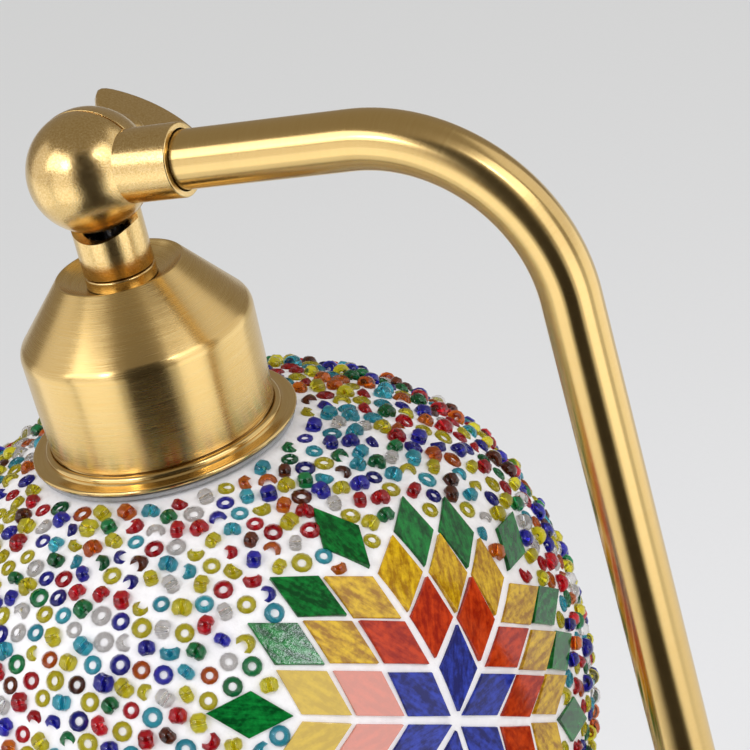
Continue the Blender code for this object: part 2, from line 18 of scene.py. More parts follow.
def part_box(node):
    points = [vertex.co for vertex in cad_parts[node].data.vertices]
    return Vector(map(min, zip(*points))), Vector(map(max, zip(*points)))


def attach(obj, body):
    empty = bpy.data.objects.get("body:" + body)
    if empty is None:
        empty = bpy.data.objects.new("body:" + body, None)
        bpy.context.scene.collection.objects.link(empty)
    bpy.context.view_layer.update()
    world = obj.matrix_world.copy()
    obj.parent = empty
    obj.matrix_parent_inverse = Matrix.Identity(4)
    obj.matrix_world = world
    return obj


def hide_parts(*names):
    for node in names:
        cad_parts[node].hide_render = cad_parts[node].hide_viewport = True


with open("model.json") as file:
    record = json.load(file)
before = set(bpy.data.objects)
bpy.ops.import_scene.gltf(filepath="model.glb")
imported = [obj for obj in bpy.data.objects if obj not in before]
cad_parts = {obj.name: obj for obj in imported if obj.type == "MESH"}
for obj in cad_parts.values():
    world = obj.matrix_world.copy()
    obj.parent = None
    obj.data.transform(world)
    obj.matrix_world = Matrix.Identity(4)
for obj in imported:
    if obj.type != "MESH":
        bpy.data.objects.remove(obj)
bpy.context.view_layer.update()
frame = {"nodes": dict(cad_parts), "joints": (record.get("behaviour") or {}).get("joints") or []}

MM = 0.001
SIDES = 128  # sides of a large turned piece
FINE_SIDES = 64  # sides of a small one
random.seed(7)

# %% [markdown]
# The knuckle's axis is where everything on the arm and on the head is measured from. The arm rises by one
# degree from it and the head hangs two degrees off the vertical, as the CAD pieces do.

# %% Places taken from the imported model
PIVOT = Vector(frame["joints"][0]["pos_m"])
ARM_RISE = math.radians(1.0)
HEAD_TILT = math.radians(2.0)
WING_TURN = math.radians(33.0)
HEAD_Y = 1.3
ARM_PLACE = Matrix.Translation(PIVOT) @ Matrix.Rotation(-ARM_RISE, 4, "Y")
HEAD_TURN = Matrix.Translation(PIVOT) @ Matrix.Rotation(HEAD_TILT, 4, "Y")
HEAD_PLACE = HEAD_TURN @ Matrix.Translation((0, HEAD_Y * MM, 0))
WING_PLACE = Matrix.Translation(PIVOT) @ Matrix.Rotation(WING_TURN, 4, "Y")
foot_low, foot_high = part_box("leg_escutcheon")
UPRIGHT = Vector(((foot_low.x + foot_high.x) / 2, 0, 0))
print("pivot", tuple(round(v, 4) for v in PIVOT), "upright at x", round(UPRIGHT.x, 4))

# %% [markdown]
# ## Camera, floor and light
# The camera stands above and in front of the knuckle and is rolled, so the level arm climbs to the right. It
# is a long lens, which keeps the globe from bulging.

# %% Camera
VIEW_AZIMUTH = math.radians(28.80)
VIEW_HEIGHT = math.radians(23.70)
VIEW_ROLL = math.radians(-15.83)
CAMERA_FROM_PIVOT = Vector((312.5, -477.5, 190.0)) * MM

away = Vector((math.sin(VIEW_AZIMUTH) * math.cos(VIEW_HEIGHT),
               -math.cos(VIEW_AZIMUTH) * math.cos(VIEW_HEIGHT),
               math.sin(VIEW_HEIGHT)))
level = Vector((math.cos(VIEW_AZIMUTH), math.sin(VIEW_AZIMUTH), 0))
rise = away.cross(level)
right = math.cos(VIEW_ROLL) * level + math.sin(VIEW_ROLL) * rise
above = -math.sin(VIEW_ROLL) * level + math.cos(VIEW_ROLL) * rise

camera_data = bpy.data.cameras.new("camera")
camera_data.sensor_width = 36
camera_data.lens = 144
camera = bpy.data.objects.new("camera", camera_data)
bpy.context.scene.collection.objects.link(camera)
camera.matrix_world = Matrix.Translation(PIVOT + CAMERA_FROM_PIVOT) @ Matrix((right, above, away)).transposed().to_4x4()
bpy.context.scene.camera = camera
bpy.context.scene.view_settings.view_transform = "Standard"
print("camera at", tuple(round(v, 3) for v in camera.matrix_world.translation))


# %% [markdown]
# Small helpers come first. A material here is a list of nodes joined by links, so one helper adds a node and
# plugs values or other nodes into its sockets.

# %% Node helper
def add_node(tree, kind, settings=None, **inputs):
    """Add a node; settings are its properties, inputs are values or output sockets by input name."""
    made = tree.nodes.new(kind)
    for key, value in (settings or {}).items():
        setattr(made, key, value)
    for key, value in inputs.items():
        socket = made.inputs[int(key[1:])] if key[0] == "i" and key[1:].isdigit() else made.inputs[key.replace("_", " ")]
        if isinstance(value, bpy.types.NodeSocket):
            tree.links.new(value, socket)
        else:
            socket.default_value = value
    return made


def new_material(name, **values):
    """A Principled material with plain values set on the shader's own sockets."""
    made = bpy.data.materials.new(name)
    made.use_nodes = True
    shader = made.node_tree.nodes["Principled BSDF"]
    for key, value in values.items():
        shader.inputs[key.replace("_", " ")].default_value = value
    return made, made.node_tree, shader


def maths(tree, operation, first, second=0.0):
    return add_node(tree, "ShaderNodeMath", {"operation": operation}, i0=first, i1=second).outputs[0]


def blend_colors(tree, amount, low, high):
    """A color between low and high, as amount goes from 0 to 1."""
    made = add_node(tree, "ShaderNodeMix", {"data_type": "RGBA"})
    tree.links.new(amount, made.inputs["Factor"])
    for index, color in ((6, low), (7, high)):
        if isinstance(color, bpy.types.NodeSocket):
            tree.links.new(color, made.inputs[index])
        else:
            made.inputs[index].default_value = (*color, 1)
    return made.outputs[2]


def spread(tree, value, low, high, from_low=0.3, from_high=0.7):
    """Stretch a noise value to the range low to high."""
    made = add_node(tree, "ShaderNodeMapRange")
    tree.links.new(value, made.inputs[0])
    for index, number in zip((1, 2, 3, 4), (from_low, from_high, low, high)):
        made.inputs[index].default_value = number
    return made.outputs[0]


def in_millimetres(tree, axis_place=None):
    """Object coordinates in millimetres, turned so that Z runs along the piece's own axis."""
    place = add_node(tree, "ShaderNodeTexCoord").outputs["Object"]
    if axis_place is not None:
        back = axis_place.inverted()
        turn = add_node(tree, "ShaderNodeMapping", Vector=place)
        turn.inputs["Rotation"].default_value = back.to_euler()
        turn.inputs["Location"].default_value = back.translation
        place = turn.outputs[0]
    return add_node(tree, "ShaderNodeVectorMath", {"operation": "SCALE"}, Vector=place, Scale=1000.0).outputs[0]


def noise(tree, vector, scale, detail=2.0, roughness=0.5):
    made = add_node(tree, "ShaderNodeTexNoise", Vector=vector, Scale=scale, Detail=detail, Roughness=roughness)
    return made.outputs["Fac"]


def bump(tree, height, strength, distance_mm):
    return add_node(tree, "ShaderNodeBump", Height=height, Strength=strength, Distance=distance_mm * MM).outputs[0]


# %% Floor, sky and soft boxes
FLOOR_SIZE = 12.0
bpy.ops.object.select_all(action="DESELECT")
bpy.ops.mesh.primitive_plane_add(size=FLOOR_SIZE)
floor = bpy.context.object
floor.name = "studio_floor"
paper, paper_tree, paper_shader = new_material("studio_paper", Roughness=0.9)
paper_shader.inputs["Specular IOR Level"].default_value = 0.1
grain = noise(paper_tree, in_millimetres(paper_tree), 0.4)
paper_tree.links.new(blend_colors(paper_tree, grain, (0.838, 0.827, 0.825), (0.853, 0.842, 0.839)),
                     paper_shader.inputs["Base Color"])
floor.data.materials.append(paper)

SKY_SEEN = 0.67
SKY_LIGHT = 0.74
SKY_MIRRORED = 0.30
sky = bpy.data.worlds.new("studio_sky")
sky.use_nodes = True
sky_tree = sky.node_tree
ray = add_node(sky_tree, "ShaderNodeLightPath")
mirrored = spread(sky_tree, ray.outputs["Is Glossy Ray"], SKY_LIGHT, SKY_MIRRORED, 0, 1)
strength = add_node(sky_tree, "ShaderNodeMix", {"data_type": "FLOAT"})
sky_tree.links.new(ray.outputs["Is Camera Ray"], strength.inputs[0])
sky_tree.links.new(mirrored, strength.inputs[2])
strength.inputs[3].default_value = SKY_SEEN
sky_tree.links.new(strength.outputs[0], sky_tree.nodes["Background"].inputs["Strength"])
tint = blend_colors(sky_tree, ray.outputs["Is Glossy Ray"], (0.985, 1.0, 0.995), (1.0, 0.89, 0.76))
sky_tree.links.new(tint, sky_tree.nodes["Background"].inputs["Color"])
sky.cycles.sampling_method = "NONE"
bpy.context.scene.world = sky


def soft_box(name, turn, distance, low, high, width, radiance):
    """An upright rectangular lamp, so many degrees round from the camera, that faces the lamp's stand."""
    way = math.radians(turn) + VIEW_AZIMUTH - math.pi / 2
    toward = Vector((math.cos(way), math.sin(way), 0))
    data = bpy.data.lights.new(name, "AREA")
    data.shape = "RECTANGLE"
    data.size = width
    data.size_y = high - low
    data.energy = radiance * math.pi * width * (high - low)
    data.color = (1.0, 1.01, 1.10)
    lamp = bpy.data.objects.new(name, data)
    bpy.context.scene.collection.objects.link(lamp)
    place = Vector((PIVOT.x, PIVOT.y, (low + high) / 2)) + toward * distance
    lamp.matrix_world = Matrix.Translation(place) @ toward.to_track_quat("Z", "Y").to_matrix().to_4x4()
    lamp.visible_camera = False
    return lamp


def hide_from_camera(item):
    """A card that only shows in mirror images: it darkens them and nothing else."""
    for ray_kind in ("camera", "diffuse", "transmission", "volume_scatter", "shadow"):
        setattr(item, f"visible_{ray_kind}", False)


soft_box("left_low_box", -50, 0.62, 0.01, 0.60, 0.48, 0.85)
soft_box("left_high_box", -58, 0.62, 0.64, 1.15, 0.60, 2.3)
soft_box("left_side_box", -100, 0.62, 0.01, 1.0, 0.55, 0.60)
soft_box("right_low_box", 46, 0.62, 0.01, 0.60, 0.34, 1.0)
soft_box("right_high_box", 50, 0.62, 0.62, 1.1, 0.42, 1.9)
soft_box("right_side_box", 98, 0.62, 0.01, 1.0, 0.50, 0.6)
soft_box("left_spark", -40, 0.70, 0.80, 0.90, 0.10, 16)
soft_box("right_spark", 34, 0.70, 0.92, 1.00, 0.08, 16)

# %% Black cards round the camera
card_paint, card_tree, card_shader = new_material("black_card", Roughness=1.0)
card_shader.inputs["Specular IOR Level"].default_value = 0.0
card_tree.links.new(blend_colors(card_tree, noise(card_tree, in_millimetres(card_tree), 0.05), (0.03, 0.025, 0.02), (0.05, 0.045, 0.04)),
                    card_shader.inputs["Base Color"])
toward_camera = Vector((away.x, away.y, 0)).normalized()
for name, middle, size, turn in (
    ("front_card", PIVOT + toward_camera * 0.70, (0.52, 1.3, 1), (math.pi / 2, 0, VIEW_AZIMUTH)),
    ("floor_card", PIVOT + toward_camera * 0.44, (0.5, 0.62, 1), (0, 0, VIEW_AZIMUTH)),
):
    bpy.ops.object.select_all(action="DESELECT")
    bpy.ops.mesh.primitive_plane_add(size=1, location=(middle.x, middle.y, 0.002 if name == "floor_card" else 0.652), rotation=turn)
    card = bpy.context.object
    card.name = name
    card.scale = size
    card.data.materials.append(card_paint)
    hide_from_camera(card)
print("lights:", [light.name for light in bpy.data.lights])

# %% [markdown]
# ## Finishes
# The spun parts are satin brass, brushed on the lathe, so fine scratches run round the axis. A noise that is
# stretched round the axis and squeezed along it gives such scratches. It drives the color, the roughness and
# a faint bump. The anisotropy draws highlights out across the scratches.

# %% Brushed brass
BRASS_DEEP = (0.70, 0.47, 0.16)
BRASS_PALE = (0.79, 0.585, 0.255)


def brushed_brass(name, axis_place=None, along=None, rough=(0.20, 0.30), scratch=0.2, contrast=1.0):
    made, tree, shader = new_material(name, Metallic=1.0, Anisotropic=0.7, Anisotropic_Rotation=0.25)
    place = in_millimetres(tree, axis_place)
    parts = add_node(tree, "ShaderNodeSeparateXYZ", Vector=place)
    x, y, z = parts.outputs
    if along:
        run = add_node(tree, "ShaderNodeAttribute", {"attribute_name": along}).outputs["Fac"]
        run = maths(tree, "MULTIPLY", run, 1000.0)
    else:
        radius = maths(tree, "SQRT", maths(tree, "ADD", maths(tree, "MULTIPLY", x, x), maths(tree, "MULTIPLY", y, y)))
        run = maths(tree, "SUBTRACT", z, radius)
    stretched = add_node(tree, "ShaderNodeCombineXYZ", X=maths(tree, "MULTIPLY", x, 0.10),
                         Y=maths(tree, "MULTIPLY", y, 0.10), Z=maths(tree, "MULTIPLY", run, 6.0)).outputs[0]
    scratches = noise(tree, stretched, 1.0, 4.0, 0.65)
    clouds = noise(tree, place, 0.07, 2.0)
    amount = spread(tree, scratches, 0.5 - contrast / 2, 0.5 + contrast / 2)
    tree.links.new(blend_colors(tree, amount, BRASS_DEEP, BRASS_PALE), shader.inputs["Base Color"])
    worn = maths(tree, "ADD", spread(tree, scratches, rough[0], rough[1]), spread(tree, clouds, -0.02, 0.03))
    tree.links.new(worn, shader.inputs["Roughness"])
    tree.links.new(bump(tree, scratches, scratch, 0.02), shader.inputs["Normal"])
    around = add_node(tree, "ShaderNodeTangent", {"direction_type": "UV_MAP", "uv_map": "around"})
    tree.links.new(around.outputs[0], shader.inputs["Tangent"])
    return made


head_brass = brushed_brass("head_brushed_brass", HEAD_PLACE)
tube_brass = brushed_brass("tube_brushed_brass", along="along", rough=(0.20, 0.24), scratch=0.02, contrast=0.4)
base_brass = brushed_brass("base_brushed_brass")
foot_brass = brushed_brass("foot_brushed_brass", Matrix.Translation(UPRIGHT))


# %% [markdown]
# The knuckle is cast and blasted before plating. Its satin is grainy in every direction, so its noise isn't
# stretched: one fine grain for the bump and a coarser one for the shine.

# %% Blasted brass
def blasted_brass(name, deep=(0.66, 0.44, 0.15), pale=(0.84, 0.63, 0.30), rough=(0.18, 0.27), grain_strength=0.6):
    made, tree, shader = new_material(name, Metallic=1.0)
    place = in_millimetres(tree)
    fine = noise(tree, place, 2.4, 4.0, 0.6)
    coarse = noise(tree, place, 0.6, 2.0)
    tree.links.new(blend_colors(tree, spread(tree, fine, 0, 1), deep, pale), shader.inputs["Base Color"])
    tree.links.new(spread(tree, maths(tree, "ADD", maths(tree, "MULTIPLY", fine, 0.6), maths(tree, "MULTIPLY", coarse, 0.4)),
                          rough[0], rough[1]), shader.inputs["Roughness"])
    tree.links.new(bump(tree, fine, grain_strength, 0.04), shader.inputs["Normal"])
    return made


knuckle_brass = blasted_brass("knuckle_blasted_brass")
polished_brass = blasted_brass("polished_brass", rough=(0.12, 0.22), grain_strength=0.15)


# %% Plain metals, rubbers and plastics
def speckled(name, low, high, rough, metallic=0.0, scale=1.5, bump_strength=0.2, **values):
    """A finish whose color, shine and surface vary a little, at one grain size."""
    made, tree, shader = new_material(name, Metallic=metallic, **values)
    grain_value = noise(tree, in_millimetres(tree), scale, 3.0, 0.6)
    tree.links.new(blend_colors(tree, spread(tree, grain_value, 0, 1), low, high), shader.inputs["Base Color"])
    tree.links.new(spread(tree, grain_value, rough[0], rough[1]), shader.inputs["Roughness"])
    tree.links.new(bump(tree, grain_value, bump_strength, 0.05), shader.inputs["Normal"])
    return made


zinc = speckled("bright_zinc", (0.55, 0.55, 0.57), (0.75, 0.75, 0.77), (0.15, 0.30), 1.0)
iron = speckled("rough_iron", (0.05, 0.05, 0.055), (0.11, 0.11, 0.115), (0.6, 0.8), 0.6, 0.8, 0.6)
dark_rubber = speckled("dark_rubber", (0.02, 0.02, 0.021), (0.045, 0.045, 0.046), (0.6, 0.8), 0.0, 2.0, 0.4)
grey_rubber = speckled("grey_rubber", (0.28, 0.28, 0.28), (0.36, 0.36, 0.36), (0.5, 0.65), 0.0, 2.0, 0.3)
black_plastic = speckled("black_plastic", (0.014, 0.014, 0.015), (0.03, 0.03, 0.03), (0.3, 0.45), 0.0, 2.5, 0.2)
lead_sleeve = speckled("glossy_lead", (0.01, 0.01, 0.011), (0.02, 0.02, 0.021), (0.08, 0.15), 0.0, 1.0, 0.05)
ceramic = speckled("white_ceramic", (0.80, 0.79, 0.75), (0.88, 0.87, 0.84), (0.2, 0.35), 0.0, 0.8, 0.1)
milk_glass = speckled("milk_glass", (0.90, 0.89, 0.86), (0.95, 0.94, 0.92), (0.15, 0.25), 0.0, 0.3, 0.02)
clear_glass = speckled("clear_glass", (0.88, 0.92, 0.90), (0.95, 0.97, 0.96), (0.03, 0.08), 0.0, 0.2, 0.05,
                       Transmission_Weight=0.9)

# %% [markdown]
# The grout is a white paste, wiped smooth round the beads. It is nearly even in color, with soft dents.

# %% Grout
grout, grout_tree, grout_shader = new_material("white_grout")
grout_place = in_millimetres(grout_tree)
dents = noise(grout_tree, grout_place, 0.55, 3.0, 0.55)
dust = noise(grout_tree, grout_place, 4.0, 2.0)
grout_tree.links.new(blend_colors(grout_tree, spread(grout_tree, dents, 0, 1), (0.84, 0.812, 0.80), (0.92, 0.895, 0.885)),
                     grout_shader.inputs["Base Color"])
grout_tree.links.new(spread(grout_tree, dust, 0.55, 0.8), grout_shader.inputs["Roughness"])
grout_tree.links.new(bump(grout_tree, maths(grout_tree, "ADD", dents, maths(grout_tree, "MULTIPLY", dust, 0.15)), 0.5, 0.4),
                     grout_shader.inputs["Normal"])
print("materials so far:", len(bpy.data.materials))


# %% [markdown]
# ## Turning pieces
# A spun or turned piece starts as a circle. Each point of its profile is one more extrusion of the ring,
# scaled to the next radius. At the end the last ring is joined to the first, or drawn together at the axis.

# %% Lathe helpers
def pick(piece):
    """Leave edit mode and make this piece the only one selected."""
    if bpy.context.object and bpy.context.object.mode != "OBJECT":
        bpy.ops.object.mode_set(mode="OBJECT")
    bpy.ops.object.select_all(action="DESELECT")
    piece.select_set(True)
    bpy.context.view_layer.objects.active = piece


def curve_of(center_radius, center_height, radius, start, end, steps=8):
    """Profile points on a circle from one angle in degrees to another."""
    points = []
    for step in range(steps + 1):
        angle = math.radians(start + (end - start) * step / steps)
        points.append((center_radius + radius * math.cos(angle), center_height + radius * math.sin(angle)))
    return points


def turn_on_lathe(name, profile, sides=SIDES, closed=True):
    """Turn a profile of (radius, height) points in millimetres round Z. A radius of 0 ends at the axis."""
    if bpy.context.object and bpy.context.object.mode != "OBJECT":
        bpy.ops.object.mode_set(mode="OBJECT")
    bpy.ops.object.select_all(action="DESELECT")
    radius, height = profile[0]
    bpy.ops.mesh.primitive_circle_add(vertices=sides, radius=radius * MM, location=(0, 0, height * MM))
    piece = bpy.context.object
    piece.name = name
    bpy.ops.object.transform_apply()
    bpy.ops.object.mode_set(mode="EDIT")
    bpy.ops.mesh.select_all(action="SELECT")
    for next_radius, next_height in profile[1:]:
        bpy.ops.mesh.extrude_edges_move(TRANSFORM_OT_translate={"value": (0, 0, (next_height - height) * MM)})
        if next_radius == 0:
            bpy.ops.mesh.merge(type="CENTER")
            break
        grow = next_radius / radius
        bpy.ops.transform.resize(value=(grow, grow, 1), center_override=(0, 0, next_height * MM))
        radius, height = next_radius, next_height
    if closed:
        bpy.ops.mesh.select_all(action="DESELECT")
        bpy.ops.mesh.select_mode(type="EDGE")
        bpy.ops.mesh.select_non_manifold()
        if profile[-1][0] == 0:
            bpy.ops.mesh.edge_face_add()
            bpy.ops.mesh.poke()
        else:
            bpy.ops.mesh.bridge_edge_loops()
        bpy.ops.mesh.select_mode(type="VERT")
    bpy.ops.mesh.select_all(action="SELECT")
    bpy.ops.mesh.normals_make_consistent(inside=False)
    bpy.ops.object.mode_set(mode="OBJECT")
    return piece


def place_piece(piece, place):
    """Move the piece, then put the move into its mesh, so that the object itself stays at the origin."""
    pick(piece)
    piece.matrix_world = place @ piece.matrix_world
    bpy.ops.object.transform_apply(location=True, rotation=True, scale=True)
    return piece


def wrap_around(piece, place):
    """A UV map whose U runs round the piece's axis and V along it, so highlights know the brushing."""
    back = place.inverted()
    mesh = piece.data
    layer = mesh.uv_layers.get("around") or mesh.uv_layers.new(name="around")
    local = [back @ v.co for v in mesh.vertices]
    for face in mesh.polygons:
        turns = [math.atan2(local[v].y, local[v].x) / math.tau for v in face.vertices]
        first = turns[0]
        for loop, vert, turn in zip(face.loop_indices, face.vertices, turns):
            turn += round(first - turn)
            layer.data[loop].uv = (turn, (local[vert].z - math.hypot(local[vert].x, local[vert].y)) * 20)


def finish_piece(piece, material, body, *nodes, slot=None, angle=30):
    """Smooth shading, the finish, the body that it rides on and the CAD nodes that it stands for."""
    pick(piece)
    bpy.ops.object.shade_smooth_by_angle(angle=math.radians(angle))
    piece.data.materials.clear()
    piece.data.materials.append(material)
    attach(piece, body)
    if nodes:
        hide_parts(*nodes)
    print(piece.name, len(piece.data.polygons), "faces")
    return piece


def combine(piece, other, how="DIFFERENCE"):
    """Join or cut one piece with another, and remove the other."""
    pick(piece)
    step = piece.modifiers.new("combine", "BOOLEAN")
    step.operation = how
    step.solver = "EXACT"
    step.object = other
    bpy.ops.object.modifier_apply(modifier=step.name)
    bpy.data.objects.remove(other, do_unlink=True)
    return piece


def bevel_edges(piece, width_mm, segments=3, angle=40):
    pick(piece)
    step = piece.modifiers.new("bevel", "BEVEL")
    step.width = width_mm * MM
    step.segments = segments
    step.limit_method = "ANGLE"
    step.angle_limit = math.radians(angle)
    bpy.ops.object.modifier_apply(modifier=step.name)
    return piece


# %% [markdown]
# ## The head: cup, ring and flange
# The cup is spun from thin sheet: a shallow dish on top, a crisp rim, a slope, a soft shoulder and a long
# side that narrows slightly. Spinning leaves no seams, so one profile turned on the lathe is the real way.

# %% Cup
CUP_FLOOR = -24.75
CUP_WALL = 0.9
cup_profile = [(5.3, CUP_FLOOR), (7.6, -24.62), (10.2, -23.75), (12.7, -22.32)]
cup_profile += curve_of(13.15, -22.4, 0.45, 112, 48, 5)
cup_profile += curve_of(24.5 - 3.6, -33.4 - 3.0, 3.6, 46, -2, 12)
cup_profile += [(24.2, -48.0), (23.8, -56.9)]
inner = curve_of(24.5 - 3.6, -33.4 - 3.0, 3.6 - CUP_WALL, 0, 46, 8)
cup_profile += [(23.8 - CUP_WALL, -56.9)] + inner + [(13.2, -23.9), (12.6, -24.9), (11.4, -25.6), (5.3, CUP_FLOOR - 1)]
cup = turn_on_lathe("spun_cup", cup_profile, 160)
place_piece(cup, HEAD_PLACE)
wrap_around(cup, HEAD_PLACE)
finish_piece(cup, head_brass, "head", "cup", slot="satin_brass", angle=35)

# %% [markdown]
# Between the stem and the cup sits a thin lock ring with a dark hairline above it.

# %% Lock ring
ring_profile = [(5.3, -22.15), (6.9, -22.15)] + curve_of(6.95, -22.6, 0.45, 80, 0, 4) + [(7.4, -24.45), (5.3, -24.45)]
lock_ring = turn_on_lathe("stem_lock_ring", ring_profile, FINE_SIDES)
place_piece(lock_ring, HEAD_PLACE)
wrap_around(lock_ring, HEAD_PLACE)
finish_piece(lock_ring, knuckle_brass, "head", "lock_ring", slot="cast_brass")

# %% [markdown]
# The flange is the neck tube's collar. A rolled bead hugs the cup, then comes a shallow channel and a flat
# lip that covers the edge of the glass.

# %% Flange
flange_profile = [(22.6, -52.0), (22.6, -57.0)] + curve_of(24.2, -58.15, 0.95, 158, -12, 12)
flange_profile += [(25.5, -58.66), (26.3, -58.80), (27.2, -58.72)]
flange_profile += curve_of(27.65, -59.2, 0.5, 80, -60, 6) + [(27.3, -60.0)]
flange_profile += [(22.6, -60.0), (22.6, -70.6), (21.6, -70.6), (21.6, -52.0)]
flange = turn_on_lathe("neck_flange", flange_profile, 160)
place_piece(flange, HEAD_PLACE)
wrap_around(flange, HEAD_PLACE)
flange_brass = brushed_brass("flange_brass", HEAD_PLACE, rough=(0.13, 0.24))
finish_piece(flange, flange_brass, "head", "globe_collar", slot="satin_brass")

gasket = turn_on_lathe("flange_gasket", [(22.9, -60.3), (27.2, -60.3), (27.4, -60.5), (27.4, -61.0), (22.9, -61.05)], 96)
place_piece(gasket, HEAD_PLACE)
finish_piece(gasket, grey_rubber, "head", "neck_gasket", slot="gasket")

# %% [markdown]
# ## The knuckle
# The knuckle is a ball cut in two. The front half carries the arm's collar and the rear half the hanging
# stem. Each starts as a sphere whose poles lie on the joint's axis. A cylinder is joined on and the halves
# are cut back where the other one turns.

# %% Knuckle helpers
BALL_RADIUS = 12.5
SEAM_Y = 1.3
GAP = 0.3
SWEEP_RADIUS = 13.6
STEP = 0.02  # keeps a cut off the halves' flat faces, because cuts in one plane can go wrong
ALONG_X = Matrix.Rotation(math.radians(90), 4, "Y")
ALONG_Y = Matrix.Rotation(math.radians(-90), 4, "X")


def turned_rod(name, radius, low, high, turn=None, sides=FINE_SIDES, edge=0.0):
    """A rod with rounded ends, turned and laid along an axis."""
    profile = [(radius - edge, low)]
    if edge:
        profile = [(max(radius - 2 * edge, 0.1), low)] + curve_of(radius - edge, low + edge, edge, -90, 0, 4)
        profile += curve_of(radius - edge, high - edge, edge, 0, 90, 4) + [(0, high)]
    else:
        profile += [(radius, high), (0, high)]
    made = turn_on_lathe(name, profile, sides)
    if turn is not None:
        place_piece(made, turn)
    return made


def ball(name, radius, center_y):
    bpy.ops.object.select_all(action="DESELECT")
    bpy.ops.mesh.primitive_uv_sphere_add(segments=96, ring_count=48, radius=radius * MM)
    made = bpy.context.object
    made.name = name
    place_piece(made, Matrix.Translation((0, center_y * MM, 0)) @ ALONG_Y)
    return made


def cut_off(piece, y_mm, keep_front):
    """Slice the piece at a plane across the joint's axis and cap it."""
    pick(piece)
    bpy.ops.object.mode_set(mode="EDIT")
    bpy.ops.mesh.select_all(action="SELECT")
    bpy.ops.mesh.bisect(plane_co=(0, y_mm * MM, 0), plane_no=(0, 1, 0), use_fill=True,
                        clear_outer=keep_front, clear_inner=not keep_front)
    bpy.ops.object.mode_set(mode="OBJECT")
    return piece


# %% Front half with the arm's collar
front = cut_off(ball("knuckle_front_half", BALL_RADIUS, 0), SEAM_Y - GAP / 2, True)
bevel_edges(front, 0.25, 2, 60)
collar = turned_rod("collar", 7.5, 4, 22, ALONG_X, 96, 0.35)
combine(collar, turned_rod("sweep", SWEEP_RADIUS, SEAM_Y - GAP / 2 - STEP, 20, ALONG_Y, 128))
combine(front, collar, "UNION")
combine(front, turned_rod("socket", 6.3, 14.3, 30, ALONG_X, 96))
place_piece(front, ARM_PLACE)
finish_piece(front, knuckle_brass, "stand", "knuckle_front", slot="cast_brass")

# %% Rear half with the hanging stem
rear = cut_off(ball("knuckle_rear_half", BALL_RADIUS, 1.0), SEAM_Y + GAP / 2, False)
bevel_edges(rear, 0.25, 2, 60)
stem = turned_rod("stem", 7.4, -21.85, -4, Matrix.Translation((0, HEAD_Y * MM, 0)), 96, 0.3)
combine(stem, turned_rod("sweep", SWEEP_RADIUS, -20, SEAM_Y + GAP / 2 + STEP, ALONG_Y, 128))
combine(rear, stem, "UNION")
combine(rear, turned_rod("bore", 5.25, -30, -8.5, Matrix.Translation((0, HEAD_Y * MM, 0)), 64))
combine(rear, turned_rod("seat", 6.0, 12.8, 20, ALONG_Y, 64))
bevel_edges(rear, 0.18, 2, 50)
place_piece(rear, HEAD_TURN)
finish_piece(rear, knuckle_brass, "head", "knuckle_back", slot="cast_brass")

# %% [markdown]
# In the gap under the ball the bright rim of the nipple and the dark lead can be seen. The nipple has a
# thread, made as rings in its profile. The lead is a curve with a round section, turned into a mesh.

# %% Nipple and lead
thread = []
for turn_number in range(12):
    top = -14.7 - turn_number * 0.5
    thread += [(4.95, top - 0.12), (4.6, top - 0.37)]
nipple_profile = [(3.6, -14.3), (4.4, -14.3), (4.75, -14.55)] + thread + [(4.9, -21.0), (4.9, -34.0), (3.6, -34.0)]
nipple = turn_on_lathe("stem_thread_nipple", nipple_profile, FINE_SIDES)
place_piece(nipple, HEAD_PLACE)
finish_piece(nipple, zinc, "head", "stem_nipple", slot="steel")

lead_route = [(1.9, -31.0), (1.9, -24.0), (1.9, -18.0), (2.2, -15.8), (3.0, -14.2), (3.8, -12.8), (4.2, -11.0), (4.3, -9.5)]
bpy.ops.object.select_all(action="DESELECT")
bpy.ops.curve.primitive_nurbs_path_add()
lead = bpy.context.object
lead.name = "inner_lead"
lead.location = (0, 0, 0)
spline = lead.data.splines[0]
spline.points.add(len(lead_route) - len(spline.points))
for point, (y, z) in zip(spline.points, lead_route):
    point.co = (0, y * MM, z * MM, 1)
spline.use_endpoint_u = True
lead.data.bevel_depth = 1.95 * MM
lead.data.bevel_resolution = 6
lead.data.use_fill_caps = True
pick(lead)
bpy.ops.object.convert(target="MESH")
place_piece(lead, HEAD_TURN)
finish_piece(lead, lead_sleeve, "head", "lead_tail", slot="black_plastic")

# %% [markdown]
# The wing of the clamp screw stands behind the ball. It is a flat fan with soft edges on a short hub. Its
# outline is drawn as a filled face, extruded to its thickness and bevelled.

# %% Wing screw
half_outline = [(3.2, 16.0), (4.9, 18.2), (7.4, 20.6), (9.9, 23.0), (11.1, 25.0), (11.6, 26.6), (11.4, 27.7), (10.6, 28.6)]
far_arc = [(23.3 * math.cos(math.radians(a)), 8.0 + 23.3 * math.sin(math.radians(a))) for a in range(66, 115, 4)]
outline = half_outline + far_arc + [(-x, y) for x, y in half_outline[::-1]]
bpy.ops.object.select_all(action="DESELECT")
bpy.ops.mesh.primitive_circle_add(vertices=len(outline), radius=0.01, fill_type="NGON")
wing = bpy.context.object
wing.name = "wing_of_clamp_screw"
for vertex, (x, y) in zip(wing.data.vertices, outline):
    vertex.co = (x * MM, y * MM, -1.25 * MM)
pick(wing)
bpy.ops.object.mode_set(mode="EDIT")
bpy.ops.mesh.select_all(action="SELECT")
bpy.ops.mesh.extrude_region_move(TRANSFORM_OT_translate={"value": (0, 0, 2.5 * MM)})
bpy.ops.mesh.select_all(action="SELECT")
bpy.ops.mesh.normals_make_consistent(inside=False)
bpy.ops.object.mode_set(mode="OBJECT")
bevel_edges(wing, 0.8, 4, 50)
combine(wing, turned_rod("hub", 4.4, 14.1, 18.6, ALONG_Y, 64, 0.5), "UNION")
